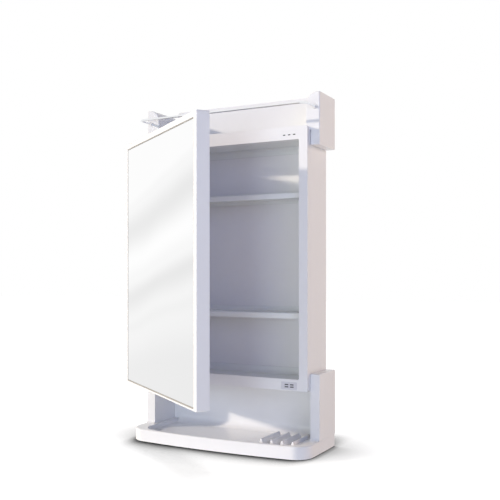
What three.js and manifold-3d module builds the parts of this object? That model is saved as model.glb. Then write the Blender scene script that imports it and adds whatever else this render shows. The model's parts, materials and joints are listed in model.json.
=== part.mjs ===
// Bathroom medicine cabinet with a mirror door, a gallery shelf on top and an open tray below.
// Millimetres. +Z is up, -Y is the front, +X is the viewer's right.
// Depths are measured from the front of the box; the groups then move so that the origin is the middle
// of the base's underside.
import * as THREE from "three";
import { mergeVertices } from "three/addons/utils/BufferGeometryUtils.js";
import Module from "manifold-3d";

const wasm = await Module();
wasm.setup();

// Driving dimensions of the cabinet
const width = 330; // across the base, the pillars and the end panels
const depth = 128; // of the base, from its front to the wall
const boxDepth = 78; // from the front of the box to the wall
const boxBottom = 98.5;
const boxHeight = 421.5; // up to the front frame's lip
const sideWall = 16; // of a pillar or an end panel beside the box
const setBack = 11; // of the pillars and the end panels behind the front of the box
const gap = 0.3; // between two pieces that touch
const wall = 3; // moulded walls of the shell
const overrun = 5; // how far a cutting body runs past the face it cuts

// Roundness of the faceted solids
const arcSteps = 4; // a quarter of a circle takes twice as many steps
const roundSides = 16; // sides of small round bodies
const sameSpot = 0.01; // points of an outline nearer than this are one point

// Planes that several pieces follow
const outer = width / 2;
const boxHalf = outer - sideWall;
const boxTop = boxBottom + boxHeight;
const frontPlane = 0;
const rearPlane = boxDepth;
const baseFront = rearPlane - depth;
const panelFront = frontPlane + setBack;
const half = (a, b) => (a + b) / 2;

const white = { color: 0xf4f4f6, roughness: 0.28, metalness: 0 };
const inside = { color: 0xdcdde6, roughness: 0.22, metalness: 0 };
const chrome = { color: 0xd8dadd, roughness: 0.12, metalness: 1 };
const steel = { color: 0xa9abb0, roughness: 0.35, metalness: 1 };
const silver = { color: 0xf6f8fa, roughness: 0.03, metalness: 1 };
const dark = { color: 0x55564a, roughness: 0.6, metalness: 0 };
const rubber = { color: 0xb9b3a6, roughness: 0.6, metalness: 0 };
const grey = { color: 0xd2d2dc, roughness: 0.4, metalness: 0 };
const nylon = { color: 0xe6e2d8, roughness: 0.45, metalness: 0 };

// A closed three.js geometry as a solid that can be joined and cut.
function solidOf(geometry) {
  const bare = geometry.index ? geometry.toNonIndexed() : geometry.clone();
  bare.deleteAttribute("normal");
  bare.deleteAttribute("uv");
  const merged = mergeVertices(bare);
  const corners = merged.index.array;
  const kept = [];
  for (let i = 0; i < corners.length; i += 3) {
    const [a, b, c] = corners.subarray(i, i + 3);
    if (a !== b && b !== c && c !== a) {
      kept.push(a, b, c);
    }
  }
  return new wasm.Manifold(
    new wasm.Mesh({
      numProp: 3,
      vertProperties: merged.attributes.position.array,
      triVerts: new Uint32Array(kept),
    }),
  );
}

// The same outline without points that nearly coincide.
function clean(outline, steps = arcSteps) {
  const points = [];
  for (const point of outline.getPoints(steps)) {
    const last = points[points.length - 1];
    if (!last || last.distanceTo(point) > sameSpot) {
      points.push(point);
    }
  }
  while (points[0].distanceTo(points[points.length - 1]) < sameSpot) {
    points.pop();
  }
  return new THREE.Shape(points);
}

function geometryOf(solid) {
  const mesh = solid.getMesh();
  const places = new Float32Array(mesh.numVert * 3);
  for (let i = 0; i < mesh.numVert; i++) {
    places.set(mesh.vertProperties.subarray(i * mesh.numProp, i * mesh.numProp + 3), i * 3);
  }
  const geometry = new THREE.BufferGeometry();
  geometry.setAttribute("position", new THREE.BufferAttribute(places, 3));
  geometry.setIndex(new THREE.BufferAttribute(mesh.triVerts, 1));
  geometry.computeVertexNormals();
  return geometry;
}

function block(x0, x1, y0, y1, z0, z1) {
  const body = new THREE.BoxGeometry(x1 - x0, y1 - y0, z1 - z0);
  body.translate(half(x0, x1), half(y0, y1), half(z0, z1));
  return solidOf(body);
}

// A rectangle with one radius for each corner, from the lower left one round to the upper left one.
function cornered(u0, u1, v0, v1, radii) {
  const [a, b, c, d] = Array.isArray(radii) ? radii : [radii, radii, radii, radii];
  const outline = new THREE.Shape();
  const turn = (u, v, r, from) => {
    if (r > 0) {
      outline.absarc(u, v, r, from, from + Math.PI / 2, false);
    } else {
      outline.lineTo(u, v);
    }
  };
  outline.moveTo(u0 + a, v0);
  outline.lineTo(u1 - b, v0);
  turn(u1 - b, v0 + b, b, -Math.PI / 2);
  outline.lineTo(u1, v1 - c);
  turn(u1 - c, v1 - c, c, 0);
  outline.lineTo(u0 + d, v1);
  turn(u0 + d, v1 - d, d, Math.PI / 2);
  outline.lineTo(u0, v0 + a);
  turn(u0 + a, v0 + a, a, Math.PI);
  return outline;
}

// An outline given in X and Y, raised from z0 to z1; round is the radius of its upper and lower edges.
function raised(outline, z0, z1, round = 0) {
  const body = new THREE.ExtrudeGeometry(clean(outline), {
    depth: z1 - z0 - round - round,
    curveSegments: arcSteps,
    bevelEnabled: round > 0,
    bevelThickness: round,
    bevelSize: round,
    bevelOffset: -round,
    bevelSegments: 2,
  });
  body.translate(0, 0, z0 + round);
  return solidOf(body);
}

// An outline given in Y and Z, drawn out from x0 to x1.
function alongX(outline, x0, x1) {
  const body = new THREE.ExtrudeGeometry(clean(outline), {
    depth: x1 - x0,
    curveSegments: arcSteps,
    bevelEnabled: false,
  });
  const turned = new THREE.Matrix4().makeBasis(
    new THREE.Vector3(0, 1, 0),
    new THREE.Vector3(0, 0, 1),
    new THREE.Vector3(1, 0, 0),
  );
  body.applyMatrix4(turned);
  body.translate(x0, 0, 0);
  return solidOf(body);
}

// An outline given in X and Z, drawn out from y0 to y1; round is the radius of its front and rear edges.
function alongY(outline, y0, y1, round = 0) {
  const body = new THREE.ExtrudeGeometry(clean(outline), {
    depth: y1 - y0 - round - round,
    curveSegments: arcSteps,
    bevelEnabled: round > 0,
    bevelThickness: round,
    bevelSize: round,
    bevelOffset: -round,
    bevelSegments: 2,
  });
  const turned = new THREE.Matrix4().makeBasis(
    new THREE.Vector3(1, 0, 0),
    new THREE.Vector3(0, 0, 1),
    new THREE.Vector3(0, -1, 0),
  );
  body.applyMatrix4(turned);
  body.translate(0, y1 - round, 0);
  return solidOf(body);
}

// An upright round body.
function post(x, y, z0, z1, radius) {
  const body = new THREE.CylinderGeometry(radius, radius, z1 - z0, roundSides);
  body.rotateX(Math.PI / 2);
  body.translate(x, y, half(z0, z1));
  return solidOf(body);
}

// A round body that lies along Y.
function peg(x, z, y0, y1, radius) {
  const body = new THREE.CylinderGeometry(radius, radius, y1 - y0, roundSides);
  body.translate(x, half(y0, y1), z);
  return solidOf(body);
}

// A round body that lies along X.
function stud(y, z, x0, x1, radius) {
  const body = new THREE.CylinderGeometry(radius, radius, x1 - x0, roundSides);
  body.rotateZ(Math.PI / 2);
  body.translate(half(x0, x1), y, z);
  return solidOf(body);
}

const cabinet = new THREE.Group();
const door = new THREE.Group();

function add(group, name, solid, finish) {
  const mesh = new THREE.Mesh(geometryOf(solid), new THREE.MeshStandardMaterial(finish));
  mesh.name = name;
  group.add(mesh);
}

const sides = [
  { name: "left", sign: -1 },
  { name: "right", sign: 1 },
];

// The mirror image of a solid on the other side of the centre plane, for sign -1.
const mirrored = (solid, sign) => (sign < 0 ? solid.mirror([1, 0, 0]) : solid);

// Base tray: a slab with a bowed front, a recess inside its rim, soap ribs and a hollow underside
const base = {
  rimTop: 20.5,
  bow: 9.5, // how far the middle of the front stands before its ends
  corner: 26,
  rearCorner: 3,
  edgeRound: 2.5,
  rimWidth: 7,
  floorTop: 14,
  floorThick: 3,
  skirtWall: 4,
  plateThick: 3,
  recessCorner: 24,
  recessRound: 4,
};
const ribs = {
  count: 4,
  fromWall: 5,
  pitch: 18.2,
  fromFront: 19,
  fromRear: 39,
  foot: 9,
  height: 10.5,
  tip: 2,
};
const plateScrew = { head: 4, headDeep: 1.4, shank: 1.6, insetX: 26, insetY: 22, bossRadius: 5 };

const pillar = { rise: 27.5, footRound: 4, edge: 1.5, footTip: 0.6 };
const pillarTop = boxBottom + pillar.rise;
const recessHalf = boxHalf - base.rimWidth;

const recessRear = rearPlane - wall;
const plateTop = base.plateThick;
const floorUnder = base.floorTop - base.floorThick;
const bowRadius = half(base.bow, (outer * outer) / base.bow);
const bowMiddle = baseFront + bowRadius;

// An outline with a front parallel to the base's bowed one, round corners and straight sides.
function bowed(side, inset, corner, rear, rearCorner) {
  const radius = bowRadius - inset;
  const turnX = side - corner;
  const turnY = bowMiddle - Math.sqrt((radius - corner) ** 2 - turnX ** 2);
  const from = Math.atan2(turnY - bowMiddle, turnX);
  const outline = new THREE.Shape();
  outline.moveTo(side, turnY);
  outline.lineTo(side, rear - rearCorner);
  outline.lineTo(side - rearCorner, rear);
  outline.lineTo(rearCorner - side, rear);
  outline.lineTo(-side, rear - rearCorner);
  outline.lineTo(-side, turnY);
  outline.absarc(-turnX, turnY, corner, Math.PI, Math.PI - from, false);
  outline.absarc(0, bowMiddle, radius, Math.PI - from, Math.PI + Math.PI + from, false);
  outline.absarc(turnX, turnY, corner, from, 0, false);
  return outline;
}
const baseOutline = (inset, rearInset) =>
  bowed(outer - inset, inset, base.corner - inset, rearPlane - rearInset, base.rearCorner);
const screwPlaces = [];
for (const x of [-outer + plateScrew.insetX, outer - plateScrew.insetX]) {
  for (const y of [baseFront + plateScrew.insetY, rearPlane - plateScrew.insetY]) {
    screwPlaces.push([x, y]);
  }
}

function rib(x) {
  const outline = new THREE.Shape();
  outline.moveTo(x - ribs.foot / 2, base.floorTop - base.floorThick / 2);
  outline.lineTo(x + ribs.foot / 2, base.floorTop - base.floorThick / 2);
  outline.lineTo(x + ribs.foot / 2, base.floorTop);
  outline.lineTo(x + ribs.tip / 2, base.floorTop + ribs.height);
  outline.lineTo(x - ribs.tip / 2, base.floorTop + ribs.height);
  outline.lineTo(x - ribs.foot / 2, base.floorTop);
  outline.closePath();
  return alongY(outline, baseFront + ribs.fromFront, recessRear - ribs.fromRear);
}

// The slab's upper edge is round, but it stays sharp where the pillars stand flush on it.
function baseTray() {
  const above = block(-outer, outer, baseFront, rearPlane, 0, base.rimTop);
  const sharp = raised(baseOutline(0, 0), base.rimTop / 2, base.rimTop).intersect(
    block(-outer, outer, panelFront - pillar.footRound, rearPlane, 0, base.rimTop),
  );
  const slab = raised(baseOutline(0, 0), -overrun, base.rimTop, base.edgeRound);
  let tray = slab.intersect(above).add(sharp);
  const recess = bowed(recessHalf, base.rimWidth, base.recessCorner, recessRear + overrun, 0);
  const dish = raised(recess, base.floorTop, base.rimTop + overrun, base.recessRound);
  tray = tray.subtract(
    dish.intersect(block(-outer, outer, baseFront, recessRear, 0, base.rimTop + overrun)),
  );
  for (let i = 0; i < ribs.count; i++) {
    tray = tray.add(rib(recessHalf - ribs.fromWall - i * ribs.pitch));
  }
  tray = tray.subtract(raised(baseOutline(base.skirtWall, base.skirtWall), -overrun, floorUnder));
  for (const [x, y] of screwPlaces) {
    const boss = post(x, y, plateTop + gap, base.floorTop - base.floorThick / 2, plateScrew.bossRadius);
    const bore = post(x, y, 0, floorUnder - gap, plateScrew.shank + gap);
    tray = tray.add(boss).subtract(bore);
  }
  return tray;
}

function basePlate() {
  let plate = raised(baseOutline(base.skirtWall + gap, base.skirtWall + gap), 0, plateTop);
  for (const [x, y] of screwPlaces) {
    plate = plate.subtract(post(x, y, -overrun, plateScrew.headDeep + gap, plateScrew.head + gap));
    plate = plate.subtract(post(x, y, 0, plateTop + overrun, plateScrew.shank + gap));
  }
  return plate;
}

add(cabinet, "base_tray", baseTray(), white);
add(cabinet, "base_plate", basePlate(), white);
screwPlaces.forEach(([x, y], i) => {
  const head = post(x, y, gap, plateScrew.headDeep, plateScrew.head);
  const shank = post(x, y, plateScrew.headDeep / 2, floorUnder - gap - gap, plateScrew.shank);
  add(cabinet, `base_screw_${i + 1}`, head.add(shank), steel);
});

// Hinge: the door's arms reach back beside the box and turn on pins between a pillar and an end panel
const hinge = {
  fromWall: 37,
  pinRadius: 3,
  pinDeep: 9,
  bushWall: 1.5,
  flange: 2,
  flangeThick: 1,
  bushDeep: 10,
  play: 0.2,
};
const hingeX = -outer + sideWall / 2;
const hingeY = rearPlane - hinge.fromWall;
const socketRadius = hinge.pinRadius + hinge.play + hinge.bushWall + gap;
const openAngle = 36.4; // of the door in the resting pose, in degrees

// Upper end panels and the lower pillars stand beside the box
const endPanel = { drop: 30, rise: 54.5, lap: 8, innerRound: 20, outerRound: 2 };
const endPanelBottom = boxTop - endPanel.drop;
const endPanelTop = boxTop + endPanel.rise;
const endPanelInner = boxHalf - endPanel.lap;

// A pillar has a sweep at its foot that runs out onto the rim of the base.
function pillarBody() {
  const foot = base.rimTop + gap;
  const { edge, footRound } = pillar;
  const tip = panelFront - footRound;
  const outline = new THREE.Shape();
  outline.moveTo(rearPlane, foot);
  outline.lineTo(rearPlane, pillarTop);
  outline.lineTo(panelFront + edge, pillarTop);
  outline.absarc(panelFront + edge, pillarTop - edge, edge, Math.PI / 2, Math.PI, false);
  outline.lineTo(panelFront, foot + footRound);
  outline.absarc(tip, foot + footRound, footRound, 0, -Math.PI / 2, true);
  outline.lineTo(tip, foot);
  outline.closePath();
  const body = alongX(outline, boxHalf + gap, outer);
  // The sweep's thin end is cut off, so that its edge isn't a knife.
  return body.subtract(block(0, width, tip - overrun, tip + pillar.footTip, 0, pillarTop));
}

// Only the left pillar and the left end panel have a socket for a hinge bush.
function pillarOn(side) {
  const body = mirrored(pillarBody(), side.sign);
  const low = pillarTop - hinge.bushDeep - gap;
  const socket = post(hingeX, hingeY, low, pillarTop + overrun, socketRadius);
  return side.sign > 0 ? body : body.subtract(socket);
}
for (const side of sides) {
  add(cabinet, `${side.name}_pillar`, pillarOn(side), white);
}

// Tray back panel, with a cove where it meets the floor of the tray
const trayBack = { cove: 14 };
function trayBackPanel() {
  const foot = base.floorTop + gap;
  const { cove } = trayBack;
  const face = recessRear - gap;
  const outline = new THREE.Shape();
  outline.moveTo(rearPlane, base.rimTop + gap);
  outline.lineTo(rearPlane, boxBottom - gap);
  outline.lineTo(face, boxBottom - gap);
  outline.lineTo(face, foot + cove);
  outline.absarc(face - cove, foot + cove, cove, 0, -Math.PI / 2, true);
  outline.lineTo(face - cove, foot);
  outline.lineTo(face, foot);
  outline.lineTo(face, base.rimTop + gap);
  outline.closePath();
  const whole = alongX(outline, -boxHalf + gap, boxHalf - gap);
  const inRecess = recessHalf - gap - base.recessRound;
  const low = base.rimTop + gap;
  return whole
    .subtract(block(inRecess, outer, 0, rearPlane + overrun, 0, low))
    .subtract(block(-outer, -inRecess, 0, rearPlane + overrun, 0, low));
}
add(cabinet, "tray_back_panel", trayBackPanel(), white);

// Shell of the box: open at the front, where the front frame closes its edge
const frame = { post: 15, rail: 21, sill: 18.5, corner: 5, innerCorner: 2 };
const openHalf = boxHalf - frame.post;
const sillTop = boxBottom + frame.sill;
const railBottom = boxTop - frame.rail;
const shell = { drop: 6, corner: 3 };
const shellTop = boxTop - shell.drop;
const shellFront = panelFront + gap;
const liner = { floorDrop: 2, thick: 3.5, cove: 11, coveTip: 1.2 };
const floorTop = sillTop - liner.floorDrop;
const keyhole = { inset: 29, drop: 40, head: 5, slot: 2.7, rise: 12 };
const keyholeX = boxHalf - keyhole.inset;
const keyholeZ = boxTop - keyhole.drop;
const shelf = {
  thick: 4,
  lip: 9,
  lipThick: 3,
  setBack: 6,
  cove: 8,
  rises: { lower: 106.5, upper: 301.5 }, // above the compartment floor
};
const shelfPeg = { radius: 2.5, reach: 9, insetFront: 14, insetRear: 18, collar: 4, collarThick: 1 };
const shelfTops = { lower: floorTop + shelf.rises.lower, upper: floorTop + shelf.rises.upper };
const innerHalf = boxHalf - wall;
const backWall = rearPlane - wall;

const linerFront = shellFront + gap;
const linerBack = backWall - gap;
const shelfFront = shellFront + shelf.setBack;
const pegRows = Object.values(shelfTops).map((top) => top - shelf.thick - gap - shelfPeg.radius);
const pegDepths = [shelfFront + shelfPeg.insetFront, backWall - shelfPeg.insetRear];

function keyholeCut(x) {
  const head = peg(x, keyholeZ, backWall - overrun, rearPlane + overrun, keyhole.head);
  const neck = block(
    x - keyhole.slot,
    x + keyhole.slot,
    backWall - overrun,
    rearPlane + overrun,
    keyholeZ,
    keyholeZ + keyhole.rise,
  );
  const top = peg(x, keyholeZ + keyhole.rise, backWall - overrun, rearPlane + overrun, keyhole.slot);
  return head.add(neck).add(top);
}

function cabinetShell() {
  const skin = cornered(-boxHalf, boxHalf, boxBottom, shellTop, shell.corner);
  const hollow = cornered(
    -innerHalf,
    innerHalf,
    boxBottom + wall,
    shellTop - wall,
    shell.corner,
  );
  let body = alongY(skin, shellFront, rearPlane);
  body = body.subtract(alongY(hollow, shellFront - overrun, backWall));
  for (const x of [-keyholeX, keyholeX]) {
    body = body.subtract(keyholeCut(x));
  }
  for (const z of pegRows) {
    for (const y of pegDepths) {
      const reach = innerHalf + wall / 2;
      body = body.subtract(stud(y, z, -reach, reach, shelfPeg.radius + gap));
    }
  }
  return body;
}
add(cabinet, "cabinet_shell", cabinetShell(), white);

// Magnetic catches sit in the top rail and in the sill, near the door's free edge
const catches = {
  fromPost: 17,
  aboveBottom: 7.8,
  belowTop: 13,
  width: 28,
  height: 12.6,
  deep: 8,
  corner: 1.5,
  face: 1.2,
  magnetWidth: 24,
  magnetHeight: 7,
  magnetDeep: 4,
  slotColumns: 3,
  slotRows: { lower: 2, upper: 1 },
  slotPitchX: 8.8,
  slotPitchZ: 3.8,
  slotWidth: 4.4,
  slotHeight: 1.3,
};
const catchX = openHalf - catches.fromPost;
const catchRows = { lower: boxBottom + catches.aboveBottom, upper: boxTop - catches.belowTop };

function frontFrame() {
  const skin = cornered(-boxHalf, boxHalf, boxBottom, boxTop, [
    frame.innerCorner,
    frame.innerCorner,
    frame.corner,
    frame.corner,
  ]);
  const hole = cornered(-openHalf, openHalf, sillTop, railBottom, frame.innerCorner);
  let body = alongY(skin, frontPlane, panelFront);
  body = body.subtract(alongY(hole, frontPlane - overrun, panelFront + overrun));
  for (const z of Object.values(catchRows)) {
    body = body.subtract(
      block(
        catchX - catches.width / 2 - gap,
        catchX + catches.width / 2 + gap,
        frontPlane - overrun,
        frontPlane + catches.deep + gap,
        z - catches.height / 2 - gap,
        z + catches.height / 2 + gap,
      ),
    );
  }
  return body;
}
add(cabinet, "front_frame", frontFrame(), white);

// The magnet lies in a pocket behind the housing's face and shows through its slots.
function catchHousing(z, rows) {
  const outline = cornered(
    catchX - catches.width / 2,
    catchX + catches.width / 2,
    z - catches.height / 2,
    z + catches.height / 2,
    catches.corner,
  );
  const pocket = block(
    catchX - catches.magnetWidth / 2 - gap,
    catchX + catches.magnetWidth / 2 + gap,
    frontPlane + catches.face,
    frontPlane + catches.deep + overrun,
    z - catches.magnetHeight / 2 - gap,
    z + catches.magnetHeight / 2 + gap,
  );
  let body = alongY(outline, frontPlane, frontPlane + catches.deep).subtract(pocket);
  for (let column = 0; column < catches.slotColumns; column++) {
    for (let row = 0; row < rows; row++) {
      const x = catchX + (column - (catches.slotColumns - 1) / 2) * catches.slotPitchX;
      const level = z + (row - (rows - 1) / 2) * catches.slotPitchZ;
      body = body.subtract(
        block(
          x - catches.slotWidth / 2,
          x + catches.slotWidth / 2,
          frontPlane - overrun,
          frontPlane + catches.face + overrun,
          level - catches.slotHeight / 2,
          level + catches.slotHeight / 2,
        ),
      );
    }
  }
  return body;
}

function catchMagnet(z) {
  const front = frontPlane + catches.face + gap;
  return block(
    catchX - catches.magnetWidth / 2,
    catchX + catches.magnetWidth / 2,
    front,
    front + catches.magnetDeep,
    z - catches.magnetHeight / 2,
    z + catches.magnetHeight / 2,
  );
}
const catchFinishes = { lower: grey, upper: white };
for (const [row, z] of Object.entries(catchRows)) {
  add(cabinet, `${row}_catch_housing`, catchHousing(z, catches.slotRows[row]), catchFinishes[row]);
  add(cabinet, `${row}_catch_magnet`, catchMagnet(z), dark);
}

// Compartment floor, ceiling and shelves meet the rear wall in coves
// A cove rises or drops from a level and ends in a thin tip against the wall.
function coveArc(outline, level, radius, way) {
  const start = linerBack - liner.coveTip - radius;
  if (way > 0) {
    outline.lineTo(linerBack, level + radius);
    outline.lineTo(linerBack - liner.coveTip, level + radius);
    outline.absarc(start, level + radius, radius, 0, -Math.PI / 2, true);
  } else {
    outline.absarc(start, level - radius, radius, Math.PI / 2, 0, true);
    outline.lineTo(linerBack, level - radius);
  }
}

// The shell's inner corners are round, so what stands in them is cut back.
function shellCorners() {
  const free = cornered(
    -innerHalf + gap,
    innerHalf - gap,
    boxBottom + wall + gap,
    shellTop - wall - gap,
    shell.corner,
  );
  const room = block(-boxHalf, boxHalf, shellFront, backWall, boxBottom, shellTop);
  return room.subtract(alongY(free, shellFront - overrun, backWall + overrun));
}

function besideWalls(z0, z1) {
  const edge = innerHalf - gap;
  const legs = [-edge, edge - wall].map((x) => block(x, x + wall, linerFront, linerBack, z0, z1));
  return legs[0].add(legs[1]);
}

function floorBody() {
  const under = floorTop - liner.thick;
  const outline = new THREE.Shape();
  outline.moveTo(linerFront, under);
  outline.lineTo(linerBack, under);
  coveArc(outline, floorTop, liner.cove, 1);
  outline.lineTo(linerFront, floorTop);
  outline.closePath();
  return alongX(outline, -innerHalf + gap, innerHalf - gap)
    .add(besideWalls(boxBottom + wall + gap, under))
    .subtract(shellCorners());
}

function ceilingBody() {
  const over = railBottom + liner.thick;
  const outline = new THREE.Shape();
  outline.moveTo(linerFront, railBottom);
  coveArc(outline, railBottom, liner.cove, -1);
  outline.lineTo(linerBack, over);
  outline.lineTo(linerFront, over);
  outline.closePath();
  return alongX(outline, -innerHalf + gap, innerHalf - gap)
    .add(besideWalls(over, shellTop - wall - gap))
    .subtract(shellCorners());
}
add(cabinet, "compartment_floor", floorBody(), inside);
add(cabinet, "compartment_ceiling", ceilingBody(), inside);

function shelfBody(top) {
  const under = top - shelf.thick;
  const outline = new THREE.Shape();
  outline.moveTo(shelfFront, top - shelf.lip);
  outline.lineTo(shelfFront + shelf.lipThick, top - shelf.lip);
  outline.lineTo(shelfFront + shelf.lipThick, under);
  coveArc(outline, under, shelf.cove, -1);
  coveArc(outline, top, shelf.cove, 1);
  outline.lineTo(shelfFront + shelf.lipThick / 2, top);
  outline.lineTo(shelfFront, top - shelf.lipThick / 2);
  outline.closePath();
  return alongX(outline, -innerHalf + gap, innerHalf - gap);
}
for (const [row, top] of Object.entries(shelfTops)) {
  add(cabinet, `${row}_shelf`, shelfBody(top), inside);
}

function shelfPegBody(sign, y, z) {
  const root = innerHalf + wall / 2 - gap;
  const pin = stud(y, z, innerHalf - shelfPeg.reach, root, shelfPeg.radius);
  const collar = stud(
    y,
    z - shelfPeg.collar + shelfPeg.radius,
    innerHalf - gap - shelfPeg.collarThick,
    innerHalf - gap,
    shelfPeg.collar,
  );
  return mirrored(pin.add(collar), sign);
}
Object.keys(shelfTops).forEach((row, level) => {
  for (const side of sides) {
    ["front", "rear"].forEach((place, i) => {
      const body = shelfPegBody(side.sign, pegDepths[i], pegRows[level]);
      add(cabinet, `${row}_shelf_peg_${side.name}_${place}`, body, nylon);
    });
  }
});

// Gallery: end panels, a back panel that rises a little above them, and the guard rail
const rail = { radius: 1.9, rise: 30.5, reach: 36, bend: 10, deep: 9, steps: 72, arcSteps: 5 };
const ferrule = { radius: 3.4, proud: 0.6, deep: 10 };
const railX = outer - sideWall / 2;
const railZ = boxTop + rail.rise;
const railFront = panelFront - rail.reach;

function endPanelBody() {
  const foot = endPanelBottom;
  const outline = new THREE.Shape();
  outline.moveTo(boxHalf + gap, foot);
  outline.lineTo(outer, foot);
  outline.lineTo(outer, endPanelTop - endPanel.outerRound);
  outline.absarc(
    outer - endPanel.outerRound,
    endPanelTop - endPanel.outerRound,
    endPanel.outerRound,
    0,
    Math.PI / 2,
    false,
  );
  outline.lineTo(endPanelInner + endPanel.innerRound, endPanelTop);
  outline.absarc(
    endPanelInner + endPanel.innerRound,
    endPanelTop - endPanel.innerRound,
    endPanel.innerRound,
    Math.PI / 2,
    Math.PI,
    false,
  );
  outline.lineTo(endPanelInner, shellTop + gap);
  outline.lineTo(boxHalf + gap, shellTop + gap);
  outline.closePath();
  const front = panelFront + gap;
  return alongY(outline, front, rearPlane).subtract(
    peg(railX, railZ, front - overrun, front + ferrule.deep + gap, ferrule.radius + gap),
  );
}

function endPanelOn(side) {
  const body = mirrored(endPanelBody(), side.sign);
  const high = endPanelBottom + hinge.bushDeep + gap;
  const socket = post(hingeX, hingeY, endPanelBottom - overrun, high, socketRadius);
  return side.sign > 0 ? body : body.subtract(socket);
}
for (const side of sides) {
  add(cabinet, `${side.name}_end_panel`, endPanelOn(side), white);
}

const galleryBack = { rise: 6, thick: 5, corner: 6 };
function galleryBackPanel() {
  const reach = endPanelInner - gap;
  const outline = cornered(-reach, reach, shellTop + gap, endPanelTop + galleryBack.rise, [
    0,
    0,
    galleryBack.corner,
    galleryBack.corner,
  ]);
  return alongY(outline, rearPlane - galleryBack.thick, rearPlane);
}
add(cabinet, "gallery_back_panel", galleryBackPanel(), white);

// The rail runs forward from one end panel, across the front and back to the other.
function guardRail() {
  const ends = panelFront + gap + rail.deep;
  const turnY = railFront + rail.bend;
  const turnX = railX - rail.bend;
  const at = (x, y) => new THREE.Vector3(x, y, railZ);
  const bend = (sign, from, to) =>
    new THREE.QuadraticBezierCurve3(from, at(sign * railX, railFront), to);
  const path = new THREE.CurvePath();
  path.add(new THREE.LineCurve3(at(-railX, ends), at(-railX, turnY)));
  path.add(bend(-1, at(-railX, turnY), at(-turnX, railFront)));
  path.add(new THREE.LineCurve3(at(-turnX, railFront), at(turnX, railFront)));
  path.add(bend(1, at(turnX, railFront), at(railX, turnY)));
  path.add(new THREE.LineCurve3(at(railX, turnY), at(railX, ends)));
  const section = new THREE.Shape();
  section.absarc(0, 0, rail.radius, 0, Math.PI + Math.PI, false);
  const tube = new THREE.ExtrudeGeometry(clean(section, rail.arcSteps), {
    steps: rail.steps,
    extrudePath: path,
  });
  return solidOf(tube);
}
add(cabinet, "guard_rail", guardRail(), chrome);

for (const side of sides) {
  const front = panelFront + gap;
  const sleeve = peg(railX, railZ, front - ferrule.proud, front + ferrule.deep, ferrule.radius);
  const bore = peg(railX, railZ, front - overrun, front + rail.deep + gap, rail.radius + gap);
  add(cabinet, `${side.name}_rail_ferrule`, mirrored(sleeve.subtract(bore), side.sign), white);
}

// Bushes in the left pillar and the left end panel; the level is the face that a bush is pushed into.
function hingeBush(level, into) {
  const bore = hinge.pinRadius + hinge.play;
  const sleeveRadius = bore + hinge.bushWall;
  const flangeRadius = sleeveRadius + hinge.flange;
  const deep = level + into * hinge.bushDeep;
  const seat = level - into * gap;
  const face = seat - into * hinge.flangeThick;
  const span = (a, b) => [Math.min(a, b), Math.max(a, b)];
  const sleeve = post(hingeX, hingeY, ...span(deep, face), sleeveRadius);
  const flange = post(hingeX, hingeY, ...span(seat, face), flangeRadius);
  const hole = post(hingeX, hingeY, ...span(deep + into * overrun, face - into * overrun), bore);
  return sleeve.add(flange).subtract(hole);
}
add(cabinet, "lower_hinge_bush", hingeBush(pillarTop, -1), nylon);
add(cabinet, "upper_hinge_bush", hingeBush(endPanelBottom, 1), nylon);

// Door, drawn closed with the hinge axis at its own origin and turned open as a group
const leaf = {
  sideLap: 22, // beyond the box's sides
  bottomLap: 5.5,
  topDrop: 6,
  thick: 20,
  clearance: 1.5,
  corner: 3,
  rimWall: 3,
  web: 2,
};
const mirror = {
  thick: 2.5,
  left: 17,
  right: 13.4,
  top: 10.5,
  bottom: 4.5,
  gasket: 1.2,
  sunk: 0.4,
};
const doorBack = { thick: 2, inset: 2.5 };
const leafRear = frontPlane - leaf.clearance;
const leafFront = leafRear - leaf.thick;
const leafRight = boxHalf + leaf.sideLap;
const leafLeft = -leafRight;
const leafBottom = boxBottom - leaf.bottomLap;
const leafTop = boxTop - leaf.topDrop;
const glassFront = leafFront + mirror.sunk;
const glassRear = glassFront + mirror.thick;
const webRear = glassRear + gap + leaf.web;

// The hole for the mirror, grown by inset on every side.
const mirrorHole = (grow) =>
  cornered(
    leafLeft + mirror.left - grow,
    leafRight - mirror.right + grow,
    leafBottom + mirror.bottom - grow,
    leafTop - mirror.top + grow,
    0,
  );

const arm = {
  thick: 11,
  width: 14,
  footLength: 34,
  footThick: 3,
  footHeight: 26,
  screwReach: 27, // from the foot's left end
  screwHead: 2.6,
  screwShank: 1.4,
  screwLength: 9,
  headDeep: 1.2,
  padThick: 6,
};
const bushFace = gap + hinge.flangeThick;
const armRows = [
  { row: "lower", low: pillarTop + bushFace + gap, away: -1 },
  { row: "upper", low: endPanelBottom - bushFace - gap - arm.thick, away: 1 },
];
const footLeft = hingeX - arm.width / 2;
const footRight = footLeft + arm.footLength;
const footRear = leafRear - gap;
const footFront = footRear - arm.footThick;
const armScrewX = footLeft + arm.screwReach;
const armMiddle = (low) => low + arm.thick / 2;

const strike = {
  width: 24,
  height: 8,
  thick: 1,
  inward: 2, // from the level of its magnet towards the middle of the door
  screwHead: 2.2,
  screwShank: 1.2,
  screwLength: 6,
  headThick: 0.5,
};
const strikeRows = {
  lower: catchRows.lower + strike.inward,
  upper: catchRows.upper - strike.inward,
};
const strikeFront = leafRear - doorBack.thick - gap;

function footPocket(low, grow, front) {
  const z = armMiddle(low);
  return block(
    footLeft - grow,
    footRight + grow,
    front,
    leafRear + overrun,
    z - arm.footHeight / 2 - grow,
    z + arm.footHeight / 2 + grow,
  );
}

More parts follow.
